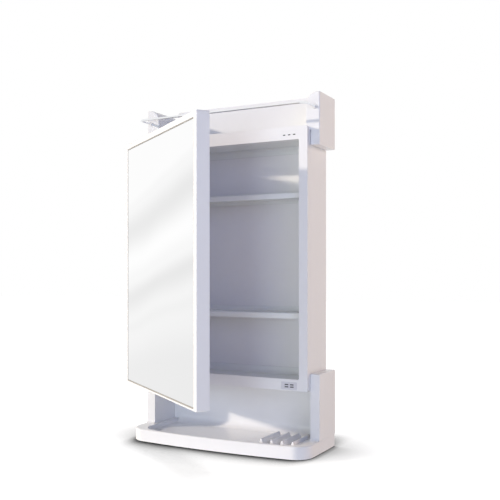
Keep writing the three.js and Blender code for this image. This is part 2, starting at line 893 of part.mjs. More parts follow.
function doorFrame() {
  let body = alongY(
    cornered(leafLeft, leafRight, leafBottom, leafTop, leaf.corner),
    leafFront,
    leafRear,
    leaf.corner / 2,
  );
  const grow = mirror.gasket + gap + gap;
  body = body.subtract(alongY(mirrorHole(grow), leafFront - overrun, glassRear + gap));
  const hollow = cornered(
    leafLeft + leaf.rimWall,
    leafRight - leaf.rimWall,
    leafBottom + leaf.rimWall,
    leafTop - leaf.rimWall,
    0,
  );
  body = body.subtract(alongY(hollow, webRear, leafRear + overrun));
  const rest = doorBack.inset;
  const ledge = cornered(
    leafLeft + leaf.rimWall + rest,
    leafRight - leaf.rimWall - rest,
    leafBottom + leaf.rimWall + rest,
    leafTop - leaf.rimWall - rest,
    0,
  );
  const ring = alongY(hollow, webRear - leaf.web / 2, strikeFront - gap).subtract(
    alongY(ledge, webRear - leaf.web, strikeFront + overrun),
  );
  body = body.add(ring);
  for (const { low } of armRows) {
    const pad = footPocket(low, arm.padThick, webRear - leaf.web / 2).intersect(
      block(leafLeft + leaf.rimWall / 2, leafRight, leafFront, strikeFront - gap, leafBottom, leafTop),
    );
    const tip = footRear - arm.screwLength - gap;
    body = body
      .add(pad)
      .subtract(footPocket(low, gap, footFront - gap))
      .subtract(peg(armScrewX, armMiddle(low), tip, leafRear, arm.screwShank + gap));
  }
  return body;
}

function doorBackPanel() {
  const reach = leaf.rimWall + gap;
  let body = alongY(
    cornered(leafLeft + reach, leafRight - reach, leafBottom + reach, leafTop - reach, 0),
    strikeFront,
    strikeFront + doorBack.thick,
  );
  for (const { low } of armRows) {
    body = body.subtract(footPocket(low, gap + gap, webRear));
  }
  for (const z of Object.values(strikeRows)) {
    body = body.subtract(strikePocket(z));
    body = body.subtract(peg(catchX, z, webRear, leafRear, strike.screwShank + gap));
  }
  return body;
}

// A strike plate is let into the panel's face, level with it.
const strikeSeat = strikeFront + doorBack.thick - strike.thick;
function strikePocket(z) {
  return block(
    catchX - strike.width / 2 - gap,
    catchX + strike.width / 2 + gap,
    strikeSeat - gap,
    leafRear + overrun,
    z - strike.height / 2 - gap,
    z + strike.height / 2 + gap,
  );
}

function strikePlate(z) {
  const body = block(
    catchX - strike.width / 2,
    catchX + strike.width / 2,
    strikeSeat,
    strikeSeat + strike.thick,
    z - strike.height / 2,
    z + strike.height / 2,
  );
  const sinkFloor = strikeSeat + strike.thick - strike.headThick - gap;
  const bore = peg(catchX, z, strikeSeat - overrun, leafRear + overrun, strike.screwShank + gap);
  const sink = peg(catchX, z, sinkFloor, leafRear + overrun, strike.screwHead + gap);
  return body.subtract(bore).subtract(sink);
}

function strikeScrew(z) {
  const face = strikeSeat + strike.thick;
  const middle = face - strike.headThick / 2;
  const head = peg(catchX, z, face - strike.headThick, face, strike.screwHead);
  return head.add(peg(catchX, z, face - strike.screwLength, middle, strike.screwShank));
}

function hingeArm({ low }) {
  const outline = new THREE.Shape();
  const r = arm.width / 2;
  outline.moveTo(hingeX - r, footFront);
  outline.lineTo(hingeX + r, footFront);
  outline.lineTo(hingeX + r, hingeY);
  outline.absarc(hingeX, hingeY, r, 0, Math.PI, false);
  outline.closePath();
  const body = raised(outline, low, low + arm.thick);
  const z = armMiddle(low);
  const footHalf = arm.footHeight / 2;
  const foot = block(footLeft, footRight, footFront, footRear, z - footHalf, z + footHalf);
  const bore = post(hingeX, hingeY, low - overrun, low + arm.thick + overrun, hinge.pinRadius + gap);
  const through = peg(armScrewX, z, footFront - overrun, footRear + overrun, arm.screwShank + gap);
  const sink = peg(armScrewX, z, footRear - arm.headDeep - gap, footRear + overrun, arm.screwHead + gap);
  return body.add(foot).subtract(bore).subtract(through).subtract(sink);
}

function hingePin({ low, away }) {
  const near = away < 0 ? low + arm.thick : low;
  const tip = away < 0 ? low - gap - hinge.pinDeep : low + arm.thick + gap + hinge.pinDeep;
  return post(hingeX, hingeY, Math.min(near, tip), Math.max(near, tip), hinge.pinRadius);
}

function armScrew({ low }) {
  const z = armMiddle(low);
  const head = peg(armScrewX, z, footRear - arm.headDeep, footRear, arm.screwHead);
  const middle = footRear - arm.headDeep / 2;
  return head.add(peg(armScrewX, z, footRear - arm.screwLength, middle, arm.screwShank));
}

add(door, "door_frame", doorFrame(), white);
add(door, "door_back_panel", doorBackPanel(), white);
add(door, "mirror_glass", alongY(mirrorHole(0), glassFront, glassRear), silver);
add(
  door,
  "mirror_gasket",
  alongY(mirrorHole(mirror.gasket + gap), glassFront, glassRear).subtract(
    alongY(mirrorHole(gap), glassFront - overrun, glassRear + overrun),
  ),
  rubber,
);
for (const place of armRows) {
  add(door, `${place.row}_hinge_arm`, hingeArm(place), white);
  add(door, `${place.row}_hinge_pin`, hingePin(place), steel);
  add(door, `${place.row}_arm_screw`, armScrew(place), steel);
}
for (const [row, z] of Object.entries(strikeRows)) {
  add(door, `${row}_strike_plate`, strikePlate(z), steel);
  add(door, `${row}_strike_screw`, strikeScrew(z), steel);
}

// The hinge axis moves to the door's own origin, and the group carries it back and turns it open.
const middle = half(baseFront, rearPlane);
for (const mesh of door.children) {
  mesh.geometry.translate(-hingeX, -hingeY, 0);
}
cabinet.position.y = -middle;
door.position.set(hingeX, hingeY - middle, 0);
door.rotation.z = -THREE.MathUtils.degToRad(openAngle);

const root = new THREE.Group();
root.add(cabinet, door);

export default root;
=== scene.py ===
import bpy
import bmesh
import json
import math
from mathutils import Matrix, Vector


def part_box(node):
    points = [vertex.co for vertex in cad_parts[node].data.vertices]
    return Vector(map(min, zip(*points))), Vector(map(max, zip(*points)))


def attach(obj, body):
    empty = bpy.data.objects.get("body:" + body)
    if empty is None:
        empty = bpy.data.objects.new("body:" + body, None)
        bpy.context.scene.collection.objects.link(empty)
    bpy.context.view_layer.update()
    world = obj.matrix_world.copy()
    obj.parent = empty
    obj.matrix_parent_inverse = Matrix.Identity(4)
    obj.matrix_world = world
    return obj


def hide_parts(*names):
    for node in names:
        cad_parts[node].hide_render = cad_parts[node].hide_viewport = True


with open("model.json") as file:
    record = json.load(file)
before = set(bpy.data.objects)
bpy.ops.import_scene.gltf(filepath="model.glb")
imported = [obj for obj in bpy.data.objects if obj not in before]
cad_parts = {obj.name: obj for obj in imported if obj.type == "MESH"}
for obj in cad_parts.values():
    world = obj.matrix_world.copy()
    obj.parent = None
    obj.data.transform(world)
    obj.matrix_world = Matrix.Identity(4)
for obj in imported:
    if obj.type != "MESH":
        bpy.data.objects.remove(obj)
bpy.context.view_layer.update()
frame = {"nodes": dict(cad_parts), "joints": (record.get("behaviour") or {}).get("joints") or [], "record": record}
print("frame loaded")


# Places that the pieces share, read from the frame (metres)
frontLow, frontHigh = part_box("front_frame")
baseLow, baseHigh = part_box("base_tray")
shellLow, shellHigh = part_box("cabinet_shell")
panelLow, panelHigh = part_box("right_end_panel")
pillarLow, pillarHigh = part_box("right_pillar")
hinge = frame["joints"][0]
hingeAt = Vector(hinge["pos_m"])
openAngle = math.radians(-hinge["range_deg"][0])  # the door stands this far open at rest
outer = baseHigh[0]
boxHalf = frontHigh[0]
boxBottom = frontLow[2]
boxTop = frontHigh[2]
frontY = frontLow[1]  # front plane of the box
rearY = baseHigh[1]  # wall plane
hair = 0.0003  # hairline between two mouldings
lap = 0.0001  # overlap or setback where two bodies would share a plane
rimTop = pillarLow[2] - hair
past = 0.01  # how far a cutting body runs past the face it cuts
sameSpot = 0.00002  # places nearer than this are one place
weld = 0.00001  # vertices nearer than this become one
flat = 0.001  # faces that meet at less than this angle become one
mostly = 0.9  # a direction with this share along an axis runs along it
sweep = 0.98  # share of a step that the round in its corner takes up


# Modelling helpers

def dropSelection():
    if bpy.context.object and bpy.context.object.mode != "OBJECT":
        bpy.ops.object.mode_set(mode="OBJECT")
    bpy.ops.object.select_all(action="DESELECT")


def makeActive(piece):
    dropSelection()
    piece.select_set(True)
    bpy.context.view_layer.objects.active = piece


def settle(name):
    piece = bpy.context.object
    bpy.ops.object.transform_apply(location=True, rotation=True, scale=True)
    piece.name = name
    piece.data.name = name
    return piece


def newBlock(name, low, high):
    dropSelection()
    middle = [(a + b) / 2 for a, b in zip(low, high)]
    size = [b - a for a, b in zip(low, high)]
    bpy.ops.mesh.primitive_cube_add(size=1, location=middle, scale=size)
    return settle(name)


def newRod(name, start, end, radius, sides=32):
    dropSelection()
    run = Vector(end) - Vector(start)
    bpy.ops.mesh.primitive_cylinder_add(vertices=sides, radius=radius, depth=run.length,
                                        location=(Vector(start) + Vector(end)) / 2,
                                        rotation=run.to_track_quat("Z", "Y").to_euler())
    return settle(name)


def pick(piece, kind, test):
    # a face is tested by its middle and normal, an edge by its middle and direction
    makeActive(piece)
    bpy.ops.object.mode_set(mode="EDIT")
    bpy.ops.mesh.select_mode(type=kind)
    bpy.ops.mesh.select_all(action="DESELECT")
    mesh = bmesh.from_edit_mesh(piece.data)
    if kind == "FACE":
        for face in mesh.faces:
            if test(face.calc_center_median(), face.normal):
                face.select_set(True)
    else:
        for edge in mesh.edges:
            start, end = edge.verts[0].co, edge.verts[1].co
            if test((start + end) / 2, (end - start).normalized()):
                edge.select_set(True)
    bmesh.update_edit_mesh(piece.data)


def near(a, b):
    return abs(a - b) < sameSpot


def middleOf(low, high, axis):
    return (low[axis] + high[axis]) / 2


def anywhere(mid, way):
    return True


def alongY(mid, way):
    return abs(way.y) > mostly


def alongZ(mid, way):
    return abs(way.z) > mostly


def sliceAt(piece, place, normal):
    pick(piece, "FACE", anywhere)
    bpy.ops.mesh.bisect(plane_co=place, plane_no=normal, use_fill=False)
    dropSelection()


def pushFaces(piece, test, move):
    pick(piece, "FACE", test)
    bpy.ops.mesh.extrude_region_move(TRANSFORM_OT_translate={"value": move})
    dropSelection()


def roundEdges(piece, test, radius, steps=4):
    pick(piece, "EDGE", test)
    bpy.ops.mesh.bevel(offset=radius, offset_type="OFFSET", segments=steps, profile=0.5, affect="EDGES",
                       clamp_overlap=True)
    dropSelection()


def mergeFlat(piece):
    pick(piece, "FACE", anywhere)
    bpy.ops.mesh.dissolve_limited(angle_limit=flat)
    dropSelection()


def closeSeams():
    bpy.ops.mesh.select_all(action="SELECT")
    bpy.ops.mesh.remove_doubles(threshold=weld)
    bpy.ops.mesh.normals_make_consistent(inside=False)
    dropSelection()


def narrowFaces(piece, test, scale, about):
    pick(piece, "FACE", test)
    bpy.ops.transform.resize(value=scale, center_override=about)
    dropSelection()


def softenEdges(piece, width, steps=2, angle=35):
    makeActive(piece)
    bevel = piece.modifiers.new("softEdges", "BEVEL")
    bevel.width = width
    bevel.segments = steps
    bevel.limit_method = "ANGLE"
    bevel.angle_limit = math.radians(angle)
    bpy.ops.object.modifier_apply(modifier=bevel.name)
    smooth(piece)


def smooth(piece, angle=40):
    # flat faces keep their own shading, and only the rounds between them are smooth
    makeActive(piece)
    bpy.ops.object.shade_smooth_by_angle(angle=math.radians(angle))
    weigh = piece.modifiers.new("flatFaces", "WEIGHTED_NORMAL")
    weigh.keep_sharp = True
    weigh.weight = 90
    bpy.ops.object.modifier_apply(modifier=weigh.name)
    dropSelection()


def combine(piece, other, operation):
    makeActive(piece)
    step = piece.modifiers.new("combine", "BOOLEAN")
    step.operation = operation
    step.solver = "EXACT"
    step.object = other
    bpy.ops.object.modifier_apply(modifier=step.name)
    bpy.data.objects.remove(other, do_unlink=True)
    dropSelection()


def cutAway(piece, cutter):
    combine(piece, cutter, "DIFFERENCE")


def joinOnto(piece, extra):
    combine(piece, extra, "UNION")


def copyOf(piece, name, move=(0, 0, 0), mirrored=False):
    makeActive(piece)
    bpy.ops.object.duplicate(linked=False)
    twin = bpy.context.object
    twin.name = name
    twin.data.name = name
    bpy.ops.object.mode_set(mode="EDIT")
    bpy.ops.mesh.select_all(action="SELECT")
    if mirrored:
        bpy.ops.transform.resize(value=(-1, 1, 1), center_override=(0, 0, 0))
        bpy.ops.mesh.normals_make_consistent(inside=False)
    bpy.ops.transform.translate(value=move)
    dropSelection()
    return twin


def newHingeRod(name, start, end, radius, sides=32):
    # an upright rod on the line of the hinge
    return newRod(name, (hingeAt.x, hingeAt.y, start), (hingeAt.x, hingeAt.y, end), radius, sides)


def swingOpen(piece):
    makeActive(piece)
    turn = Matrix.Translation(hingeAt) @ Matrix.Rotation(-openAngle, 4, "Z") @ Matrix.Translation(-hingeAt)
    piece.matrix_world = turn @ piece.matrix_world
    bpy.ops.object.transform_apply(location=True, rotation=True, scale=True)
    dropSelection()


def finishPiece(piece, body, slot, material, *nodes):
    piece.data.materials.clear()
    piece.data.materials.append(material)
    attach(piece, body)
    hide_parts(*nodes)


def finishMoulding(piece, node):
    finishPiece(piece, "cabinet", "body", whitePlastic, node)


def finishPair(right, left, node):
    for side, piece in (("right_", right), ("left_", left)):
        smooth(piece)
        finishMoulding(piece, side + node)


def finishOnDoor(piece, slot, material, node):
    # drawn with the door closed
    swingOpen(piece)
    finishPiece(piece, "door", slot, material, node)


# Materials

def setInputs(node, values):
    for name, value in values.items():
        node.inputs[name].default_value = value


def newNode(tree, kind, values=None):
    node = tree.nodes.new("ShaderNode" + kind)
    setInputs(node, values or {})
    return node


def newMaterial(name, color, roughness, metallic=0.0):
    material = bpy.data.materials.new(name)
    material.use_nodes = True
    shader = material.node_tree.nodes["Principled BSDF"]
    setInputs(shader, {"Base Color": (*color, 1), "Roughness": roughness, "Metallic": metallic})
    return material, material.node_tree, shader


def addNoise(tree, scale, detail=4.0, stretch=(1, 1, 1)):
    place = newNode(tree, "TexCoord")
    mapping = newNode(tree, "Mapping", {"Scale": stretch})
    noise = newNode(tree, "TexNoise", {"Scale": scale, "Detail": detail})
    tree.links.new(place.outputs["Object"], mapping.inputs["Vector"])
    tree.links.new(mapping.outputs["Vector"], noise.inputs["Vector"])
    return noise.outputs["Fac"]


def spread(tree, source, low, high, start=0.3, end=0.7):
    # most of a noise lies between 0.3 and 0.7
    ramp = newNode(tree, "MapRange", {"From Min": start, "From Max": end, "To Min": low, "To Max": high})
    tree.links.new(source, ramp.inputs["Value"])
    return ramp.outputs["Result"]


def addMath(tree, operation, *sources):
    step = newNode(tree, "Math")
    step.operation = operation
    for i, source in enumerate(sources):
        tree.links.new(source, step.inputs[i])
    return step.outputs[0]


def emptyTree(owner):
    owner.use_nodes = True
    owner.node_tree.nodes.clear()
    return owner.node_tree


def tint(tree, source, dark, light):
    mix = newNode(tree, "Mix", {6: (*dark, 1), 7: (*light, 1)})
    mix.data_type = "RGBA"
    tree.links.new(source, mix.inputs[0])
    return mix.outputs[2]


def addBump(tree, shader, source, strength, distance):
    bump = newNode(tree, "Bump", {"Strength": strength, "Distance": distance})
    tree.links.new(source, bump.inputs["Height"])
    tree.links.new(bump.outputs["Normal"], shader.inputs["Normal"])


plastic = {
    "glossLow": 0.17,
    "glossHigh": 0.27,
    "surface": {"IOR": 1.5, "Coat Weight": 0.15, "Coat Roughness": 0.08},
    "ripple": 90,  # faint sink marks of the moulding, per metre
    "skin": 900,
    "skinShare": 0.25,
    "skinDepth": 0.00003,
}
tones = {
    "white": ((0.86, 0.86, 0.87), (0.84, 0.84, 0.855)),
    "liner": ((0.84, 0.86, 0.86), (0.81, 0.83, 0.83)),
    # the catch tone is a grey-lavender copy of the white: painted shade for the lower catch in the door's shadow
    "catch": ((0.72, 0.72, 0.76), (0.69, 0.69, 0.73)),
    "nylon": ((0.68, 0.65, 0.58), (0.64, 0.61, 0.54)),
}


def mouldedPlastic(name, light, dark):
    material, tree, shader = newMaterial(name, light, plastic["glossHigh"])
    setInputs(shader, plastic["surface"])
    broad = addNoise(tree, plastic["ripple"], 2)
    fine = addNoise(tree, plastic["skin"], 6)
    tree.links.new(tint(tree, broad, dark, light), shader.inputs["Base Color"])
    tree.links.new(spread(tree, fine, plastic["glossLow"], plastic["glossHigh"]), shader.inputs["Roughness"])
    addBump(tree, shader, fine, plastic["skinShare"], plastic["skinDepth"])
    return material


whitePlastic = mouldedPlastic("whitePlastic", *tones["white"])
doorPlastic = mouldedPlastic("doorPlastic", *tones["white"])
linerPlastic = mouldedPlastic("linerPlastic", *tones["liner"])
# painted shade: a grey-lavender copy of the white plastic, for the shaded lower catch
shadedCatchPlastic = mouldedPlastic("shadedCatchPlastic", *tones["catch"])
nylon = mouldedPlastic("nylon", *tones["nylon"])


glass = {
    "color": (0.93, 0.94, 0.94),
    "roughness": 0.012,
    "surface": {"Coat Weight": 0.3, "Coat Roughness": 0.01},
    "bendScale": 6,
    "waveScale": 7,
    "waveShare": 0.02,
    "waveDepth": 0.0005,
}
paintedReflectionBands = {
    "slope": (-0.15, 0.109, 1.0),  # the painted reflection bands run level across this direction
    "from": 0.05,
    "to": 0.45,
    "bend": 0.02,
    "shades": ((0.0, 0.81), (0.24, 0.81), (0.40, 0.885), (0.44, 0.865), (0.48, 0.895), (0.57, 0.785),
               (0.64, 0.925), (0.72, 0.99), (0.85, 0.79), (0.95, 0.92), (1.0, 0.97)),
}


def silveredGlass():
    # slightly wavy glass whose colour carries painted reflections: soft slanting grey bands
    material, tree, shader = newMaterial("silveredGlass", glass["color"], glass["roughness"], 1.0)
    setInputs(shader, glass["surface"])
    place = newNode(tree, "TexCoord")
    across = newNode(tree, "VectorMath", {1: paintedReflectionBands["slope"]})
    across.operation = "DOT_PRODUCT"
    tree.links.new(place.outputs["Object"], across.inputs[0])
    bent = newNode(tree, "Math", {1: paintedReflectionBands["bend"]})
    bent.operation = "MULTIPLY_ADD"
    tree.links.new(addNoise(tree, glass["bendScale"], 1), bent.inputs[0])
    tree.links.new(across.outputs["Value"], bent.inputs[2])
    level = spread(tree, bent.outputs[0], 0, 1, paintedReflectionBands["from"], paintedReflectionBands["to"])
    # painted reflection: lighter and darker grey bands along the slant
    ramp = newNode(tree, "ValToRGB")
    ramp.color_ramp.interpolation = "EASE"
    for i, (at, shade) in enumerate(paintedReflectionBands["shades"]):
        stop = ramp.color_ramp.elements[i] if i < 2 else ramp.color_ramp.elements.new(at)
        stop.position = at
        stop.color = (shade, shade, shade, 1)
    tree.links.new(level, ramp.inputs["Fac"])
    tree.links.new(ramp.outputs["Color"], shader.inputs["Base Color"])
    wave = addNoise(tree, glass["waveScale"], 1)
    addBump(tree, shader, wave, glass["waveShare"], glass["waveDepth"])
    return material


plating = {"color": (0.86, 0.87, 0.89), "roughness": 0.07, "glossLow": 0.05, "glossHigh": 0.12, "scuff": 500}


def platedRod():
    material, tree, shader = newMaterial("platedRod", plating["color"], plating["roughness"], 1.0)
    scuff = addNoise(tree, plating["scuff"], 5)
    tree.links.new(spread(tree, scuff, plating["glossLow"], plating["glossHigh"]), shader.inputs["Roughness"])
    return material


sheet = {
    "color": (0.55, 0.56, 0.58),
    "dark": (0.48, 0.49, 0.5),
    "light": (0.6, 0.61, 0.63),
    "roughness": 0.32,
    "glossLow": 0.25,
    "glossHigh": 0.42,
    "grain": 700,
    "brushing": (1, 1, 12),
}


def zincSteel():
    material, tree, shader = newMaterial("zincSteel", sheet["color"], sheet["roughness"], 1.0)
    brushed = addNoise(tree, sheet["grain"], 4, sheet["brushing"])
    tree.links.new(spread(tree, brushed, sheet["glossLow"], sheet["glossHigh"]), shader.inputs["Roughness"])
    tree.links.new(tint(tree, brushed, sheet["dark"], sheet["light"]), shader.inputs["Base Color"])
    return material


# the gasket's grey is partly its own colour and partly painted shade of the gap at the mirror's bevelled edge
softGrain = {
    "color": (0.46, 0.44, 0.4),
    "dark": (0.42, 0.4, 0.36),
    "light": (0.5, 0.48, 0.44),
    "roughness": 0.6,
    "grain": 1200,
    "detail": 5,
    "share": 0.3,
    "depth": 0.00005,
}
sinter = {
    "color": (0.05, 0.05, 0.055),
    "dark": (0.03, 0.03, 0.033),
    "light": (0.07, 0.07, 0.075),
    "roughness": 0.5,
    "grain": 2500,
    "detail": 6,
    "share": 0.2,
    "depth": 0.00004,
}


def grainy(name, look):
    material, tree, shader = newMaterial(name, look["color"], look["roughness"])
    grain = addNoise(tree, look["grain"], look["detail"])
    tree.links.new(tint(tree, grain, look["dark"], look["light"]), shader.inputs["Base Color"])
    addBump(tree, shader, grain, look["share"], look["depth"])
    return material


silver = silveredGlass()
chrome = platedRod()
zinc = zincSteel()
rubberAndGapShade = grainy("paleRubberAndGapShade", softGrain)
magnet = grainy("ferrite", sinter)
print("materials made")


# Base tray: a slab with a bowed front, a recess inside its rim, soap ribs and a hollow underside

tray = {
    "bow": 0.0095,  # how far the middle of the front stands before its ends
    "columns": 28,
    "corner": 0.026,
    "recessCorner": 0.024,
    "rearCorner": 0.003,
    "topEdge": 0.0025,
    "bottomEdge": 0.0010,
    "rim": 0.007,
    "floorTop": 0.014,
    "floorThick": 0.003,
    "recessRound": 0.004,
    "backThick": 0.003,
    "backCove": 0.014,
    "backSoften": 0.0004,
    "skirt": 0.004,
    "soften": 0.0008,
    "beside": 0.0005,  # edges nearer than this to the pillars' line stay sharp
}
rib = {
    "count": 4,
    "fromWall": 0.005,
    "pitch": 0.0182,
    "fromFront": 0.019,
    "fromRear": 0.039,
    "foot": 0.009,
    "tip": 0.002,
    "height": 0.0105,
    "sunk": 0.001,
    "taperShare": 0.985,
    "edge": 0.0007,
}
recessHalf = boxHalf - tray["rim"]
recessRear = rearY - tray["backThick"]


def bowedSlab(name, low, high, corner):
    # a block with two round front corners, its front drawn back towards the sides
    piece = newBlock(name, low, high)
    roundEdges(piece, lambda mid, way: alongZ(mid, way) and mid.y < 0, corner, 16)
    pick(piece, "EDGE", lambda mid, way: abs(way.x) > mostly and near(mid.y, low[1]))
    bpy.ops.mesh.subdivide(number_cuts=tray["columns"] - 1)
    dropSelection()
    places = sorted({round(vert.co.x, 6) for vert in piece.data.vertices if vert.co.y < 0})
    for x in places:
        pick(piece, "EDGE", lambda mid, way: alongZ(mid, way) and near(mid.x, x) and mid.y < 0)
        bpy.ops.transform.translate(value=(0, tray["bow"] * (x / outer) ** 2, 0))
    dropSelection()
    return piece


def soapRib():
    middle = recessHalf - rib["fromWall"]
    half = rib["foot"] / 2
    top = tray["floorTop"] + rib["height"]
    piece = newBlock("rib", (middle - half, baseLow[1] + rib["fromFront"], tray["floorTop"] - rib["sunk"]),
                     (middle + half, recessRear - rib["fromRear"], top))
    narrowFaces(piece, lambda mid, facing: facing.z > mostly,
                (rib["tip"] / rib["foot"], rib["taperShare"], 1),
                (middle, (baseLow[1] + recessRear) / 2, top))
    roundEdges(piece, lambda mid, way: near(mid.z, top), rib["edge"], 3)
    return piece


def atRecess(mid):
    front = baseLow[1] + tray["rim"] + tray["bow"] * (mid.x / outer) ** 2
    return abs(mid.x) < recessHalf + hair and front - 2 * hair < mid.y < recessRear + hair


def baseTray():
    piece = bowedSlab("baseTray", baseLow, (outer, rearY, rimTop), tray["corner"])
    roundEdges(piece, lambda mid, way: alongZ(mid, way) and near(mid.y, rearY), tray["rearCorner"], 4)
    tip = pillarLow[1]  # the upper edge stays sharp under the pillars
    sliceAt(piece, (0, tip, 0), (0, 1, 0))
    roundEdges(piece, lambda mid, way: near(mid.z, rimTop) and mid.y < tip - tray["beside"],
               tray["topEdge"], 5)
    roundEdges(piece, lambda mid, way: near(mid.z, 0) and not near(mid.y, tip), tray["bottomEdge"], 3)
    recess = bowedSlab("recess", (-recessHalf, baseLow[1] + tray["rim"], tray["floorTop"]),
                       (recessHalf, recessRear, rimTop + past), tray["recessCorner"])
    roundEdges(recess, lambda mid, way: near(mid.z, tray["floorTop"]) and not near(mid.y, recessRear),
               tray["recessRound"], 5)
    cutAway(piece, recess)
    skirt = tray["skirt"]
    cutAway(piece, bowedSlab("hollow", (-outer + skirt, baseLow[1] + skirt, -past),
                             (outer - skirt, rearY - skirt, tray["floorTop"] - tray["floorThick"]),
                             tray["corner"] - skirt))
    first = soapRib()
    for i in range(1, rib["count"]):
        joinOnto(piece, copyOf(first, "rib", (-i * rib["pitch"], 0, 0)))
    joinOnto(piece, first)
    roundEdges(piece, lambda mid, way: near(mid.z, rimTop) and atRecess(mid) and not near(mid.y, tip),
               tray["soften"], 3)
    smooth(piece)
    finishMoulding(piece, "base_tray")


plate = {"screws": 4, "seatDeep": 0.0017, "seatSides": 24, "soften": 0.0004, "headDeep": 0.0011}


def basePlate():
    low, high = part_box("base_plate")
    piece = bowedSlab("basePlate", low, high, tray["corner"] - tray["skirt"] - hair)
    for i in range(1, plate["screws"] + 1):
        screwLow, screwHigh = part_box("base_screw_%d" % i)
        x, y = middleOf(screwLow, screwHigh, 0), middleOf(screwLow, screwHigh, 1)
        cutAway(piece, newRod("seat", (x, y, -past), (x, y, plate["seatDeep"]),
                              (screwHigh[0] - screwLow[0]) / 2 + hair, plate["seatSides"]))
    softenEdges(piece, plate["soften"])
    finishMoulding(piece, "base_plate")


# Pillars, each with a small sweep at its foot that runs out onto the rim

pillar = {"tip": 0.0006, "edge": 0.0012, "sideEdge": 0.0008, "fromWall": 0.001, "uprightShare": 0.5}
bush = {"flange": 0.002, "flangeThick": 0.001, "play": 0.0002, "soften": 0.0003}


def socketFor(node):
    low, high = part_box(node)
    return (high[0] - low[0]) / 2 - bush["flange"] + hair


def pillars():
    front = frontHigh[1]
    foot = rimTop
    piece = newBlock("rightPillar", (pillarLow[0], front, foot), pillarHigh)
    sliceAt(piece, (0, 0, foot + pillar["tip"]), (0, 0, 1))
    run = pillarLow[1] - front
    pushFaces(piece, lambda mid, facing: facing.y < -mostly and mid.z < foot + pillar["tip"], (0, run, 0))
    roundEdges(piece, lambda mid, way: abs(way.x) > mostly and near(mid.y, front)
               and near(mid.z, foot + pillar["tip"]), -run * sweep, 12)
    roundEdges(piece, lambda mid, way: near(mid.z, pillarHigh[2]) and not near(mid.y, rearY),
               pillar["edge"], 4)
    roundEdges(piece, lambda mid, way: abs(way.z) > pillar["uprightShare"] and mid.x > outer - lap
               and mid.y < rearY - pillar["fromWall"], pillar["sideEdge"], 3)
    left = copyOf(piece, "leftPillar", mirrored=True)
    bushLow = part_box("lower_hinge_bush")[0]
    cutAway(left, newHingeRod("socket", bushLow[2] - hair, pillarHigh[2] + past,
                              socketFor("lower_hinge_bush")))
    finishPair(piece, left, "pillar")


# Tray back, with a cove where it meets the floor of the tray

def trayBack():
    low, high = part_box("tray_back_panel")
    face = recessRear - hair
    start = face - tray["backCove"]
    level = tray["floorTop"]
    piece = newBlock("trayBack", (-boxHalf - lap, face, rimTop), (boxHalf + lap, rearY, high[2]))
    inner = recessHalf - tray["recessRound"]
    cove = newBlock("cove", (-inner, start, level), (inner, face + lap, level + tray["backCove"]))
    axis = level + tray["backCove"] + hair
    cutAway(cove, newRod("coveCut", (-boxHalf, start, axis), (boxHalf, start, axis), tray["backCove"], 64))
    joinOnto(piece, cove)
    softenEdges(piece, tray["backSoften"])
    finishMoulding(piece, "tray_back_panel")


# Shell of the box, with two keyhole slots for hanging

shell = {
    "wall": 0.003,
    "corner": 0.003,
    "keyInset": 0.029,
    "keyDrop": 0.040,
    "keyHead": 0.005,
    "keySlot": 0.0027,
    "keyRise": 0.012,
    "soften": 0.0006,
}


def cabinetShell():
    piece = newBlock("cabinetShell", shellLow, shellHigh)
    roundEdges(piece, alongY, shell["corner"], 6)
    wall = shell["wall"]
    hollow = newBlock("hollow", (shellLow[0] + wall, shellLow[1] - past, shellLow[2] + wall),
                      (shellHigh[0] - wall, rearY - wall, shellHigh[2] - wall))
    roundEdges(hollow, alongY, shell["corner"], 6)
    cutAway(piece, hollow)
    z = boxTop - shell["keyDrop"]
    top = z + shell["keyRise"]
    slot = shell["keySlot"]
    for x in (shell["keyInset"] - boxHalf, boxHalf - shell["keyInset"]):
        cutAway(piece, newRod("keyHead", (x, rearY - past, z), (x, rearY + past, z), shell["keyHead"]))
        cutAway(piece, newBlock("keyNeck", (x - slot, rearY - past, z), (x + slot, rearY + past, top)))
        cutAway(piece, newRod("keyTop", (x, rearY - past, top), (x, rearY + past, top), slot))
    softenEdges(piece, shell["soften"])
    finishMoulding(piece, "cabinet_shell")


# Front frame with top rail, sill and two posts; the magnetic catches are let into it

opening = {
    "post": 0.015,
    "rail": 0.021,
    "sill": 0.0185,
    "corner": 0.005,
    "holeCorner": 0.002,
    "soften": 0.0011,
}
catch = {
    "corner": 0.0015,
    "face": 0.0012,
    "slotHeight": 0.0017,
    "slotDeep": 0.002,
    "soften": 0.0002,
    "magnetEdge": 0.0006,
    "lower": {"columns": 2, "pitch": 0.0092, "width": 0.0066, "lines": 2, "rise": 0.0036},
    "upper": {"columns": 3, "pitch": 0.0088, "width": 0.0044, "lines": 1, "rise": 0},
}
openHalf = boxHalf - opening["post"]
sillTop = boxBottom + opening["sill"]
railBottom = boxTop - opening["rail"]


def nearCatch(mid):
    return any(low[0] - hair < mid.x < high[0] + hair and low[2] - hair < mid.z < high[2] + hair
               for low, high in (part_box("lower_catch_housing"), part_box("upper_catch_housing")))


def frontFrame():
    piece = newBlock("frontFrame", frontLow, frontHigh)
    roundEdges(piece, lambda mid, way: alongY(mid, way) and near(mid.z, boxTop), opening["corner"], 6)
    roundEdges(piece, lambda mid, way: alongY(mid, way) and near(mid.z, boxBottom), opening["holeCorner"], 4)
    hole = newBlock("hole", (-openHalf, frontY - past, sillTop), (openHalf, frontHigh[1] + past, railBottom))
    roundEdges(hole, alongY, opening["holeCorner"], 4)
    cutAway(piece, hole)
    for row in ("lower", "upper"):
        low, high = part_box(row + "_catch_housing")
        pocket = newBlock("pocket", (low[0], low[1] - past, low[2]), (high[0], high[1] + hair, high[2]))
        roundEdges(pocket, alongY, catch["corner"], 4)
        cutAway(piece, pocket)
    roundEdges(piece, lambda mid, way: near(mid.y, frontY) and not nearCatch(mid), opening["soften"], 3)
    smooth(piece)
    finishMoulding(piece, "front_frame")


# Magnetic catches

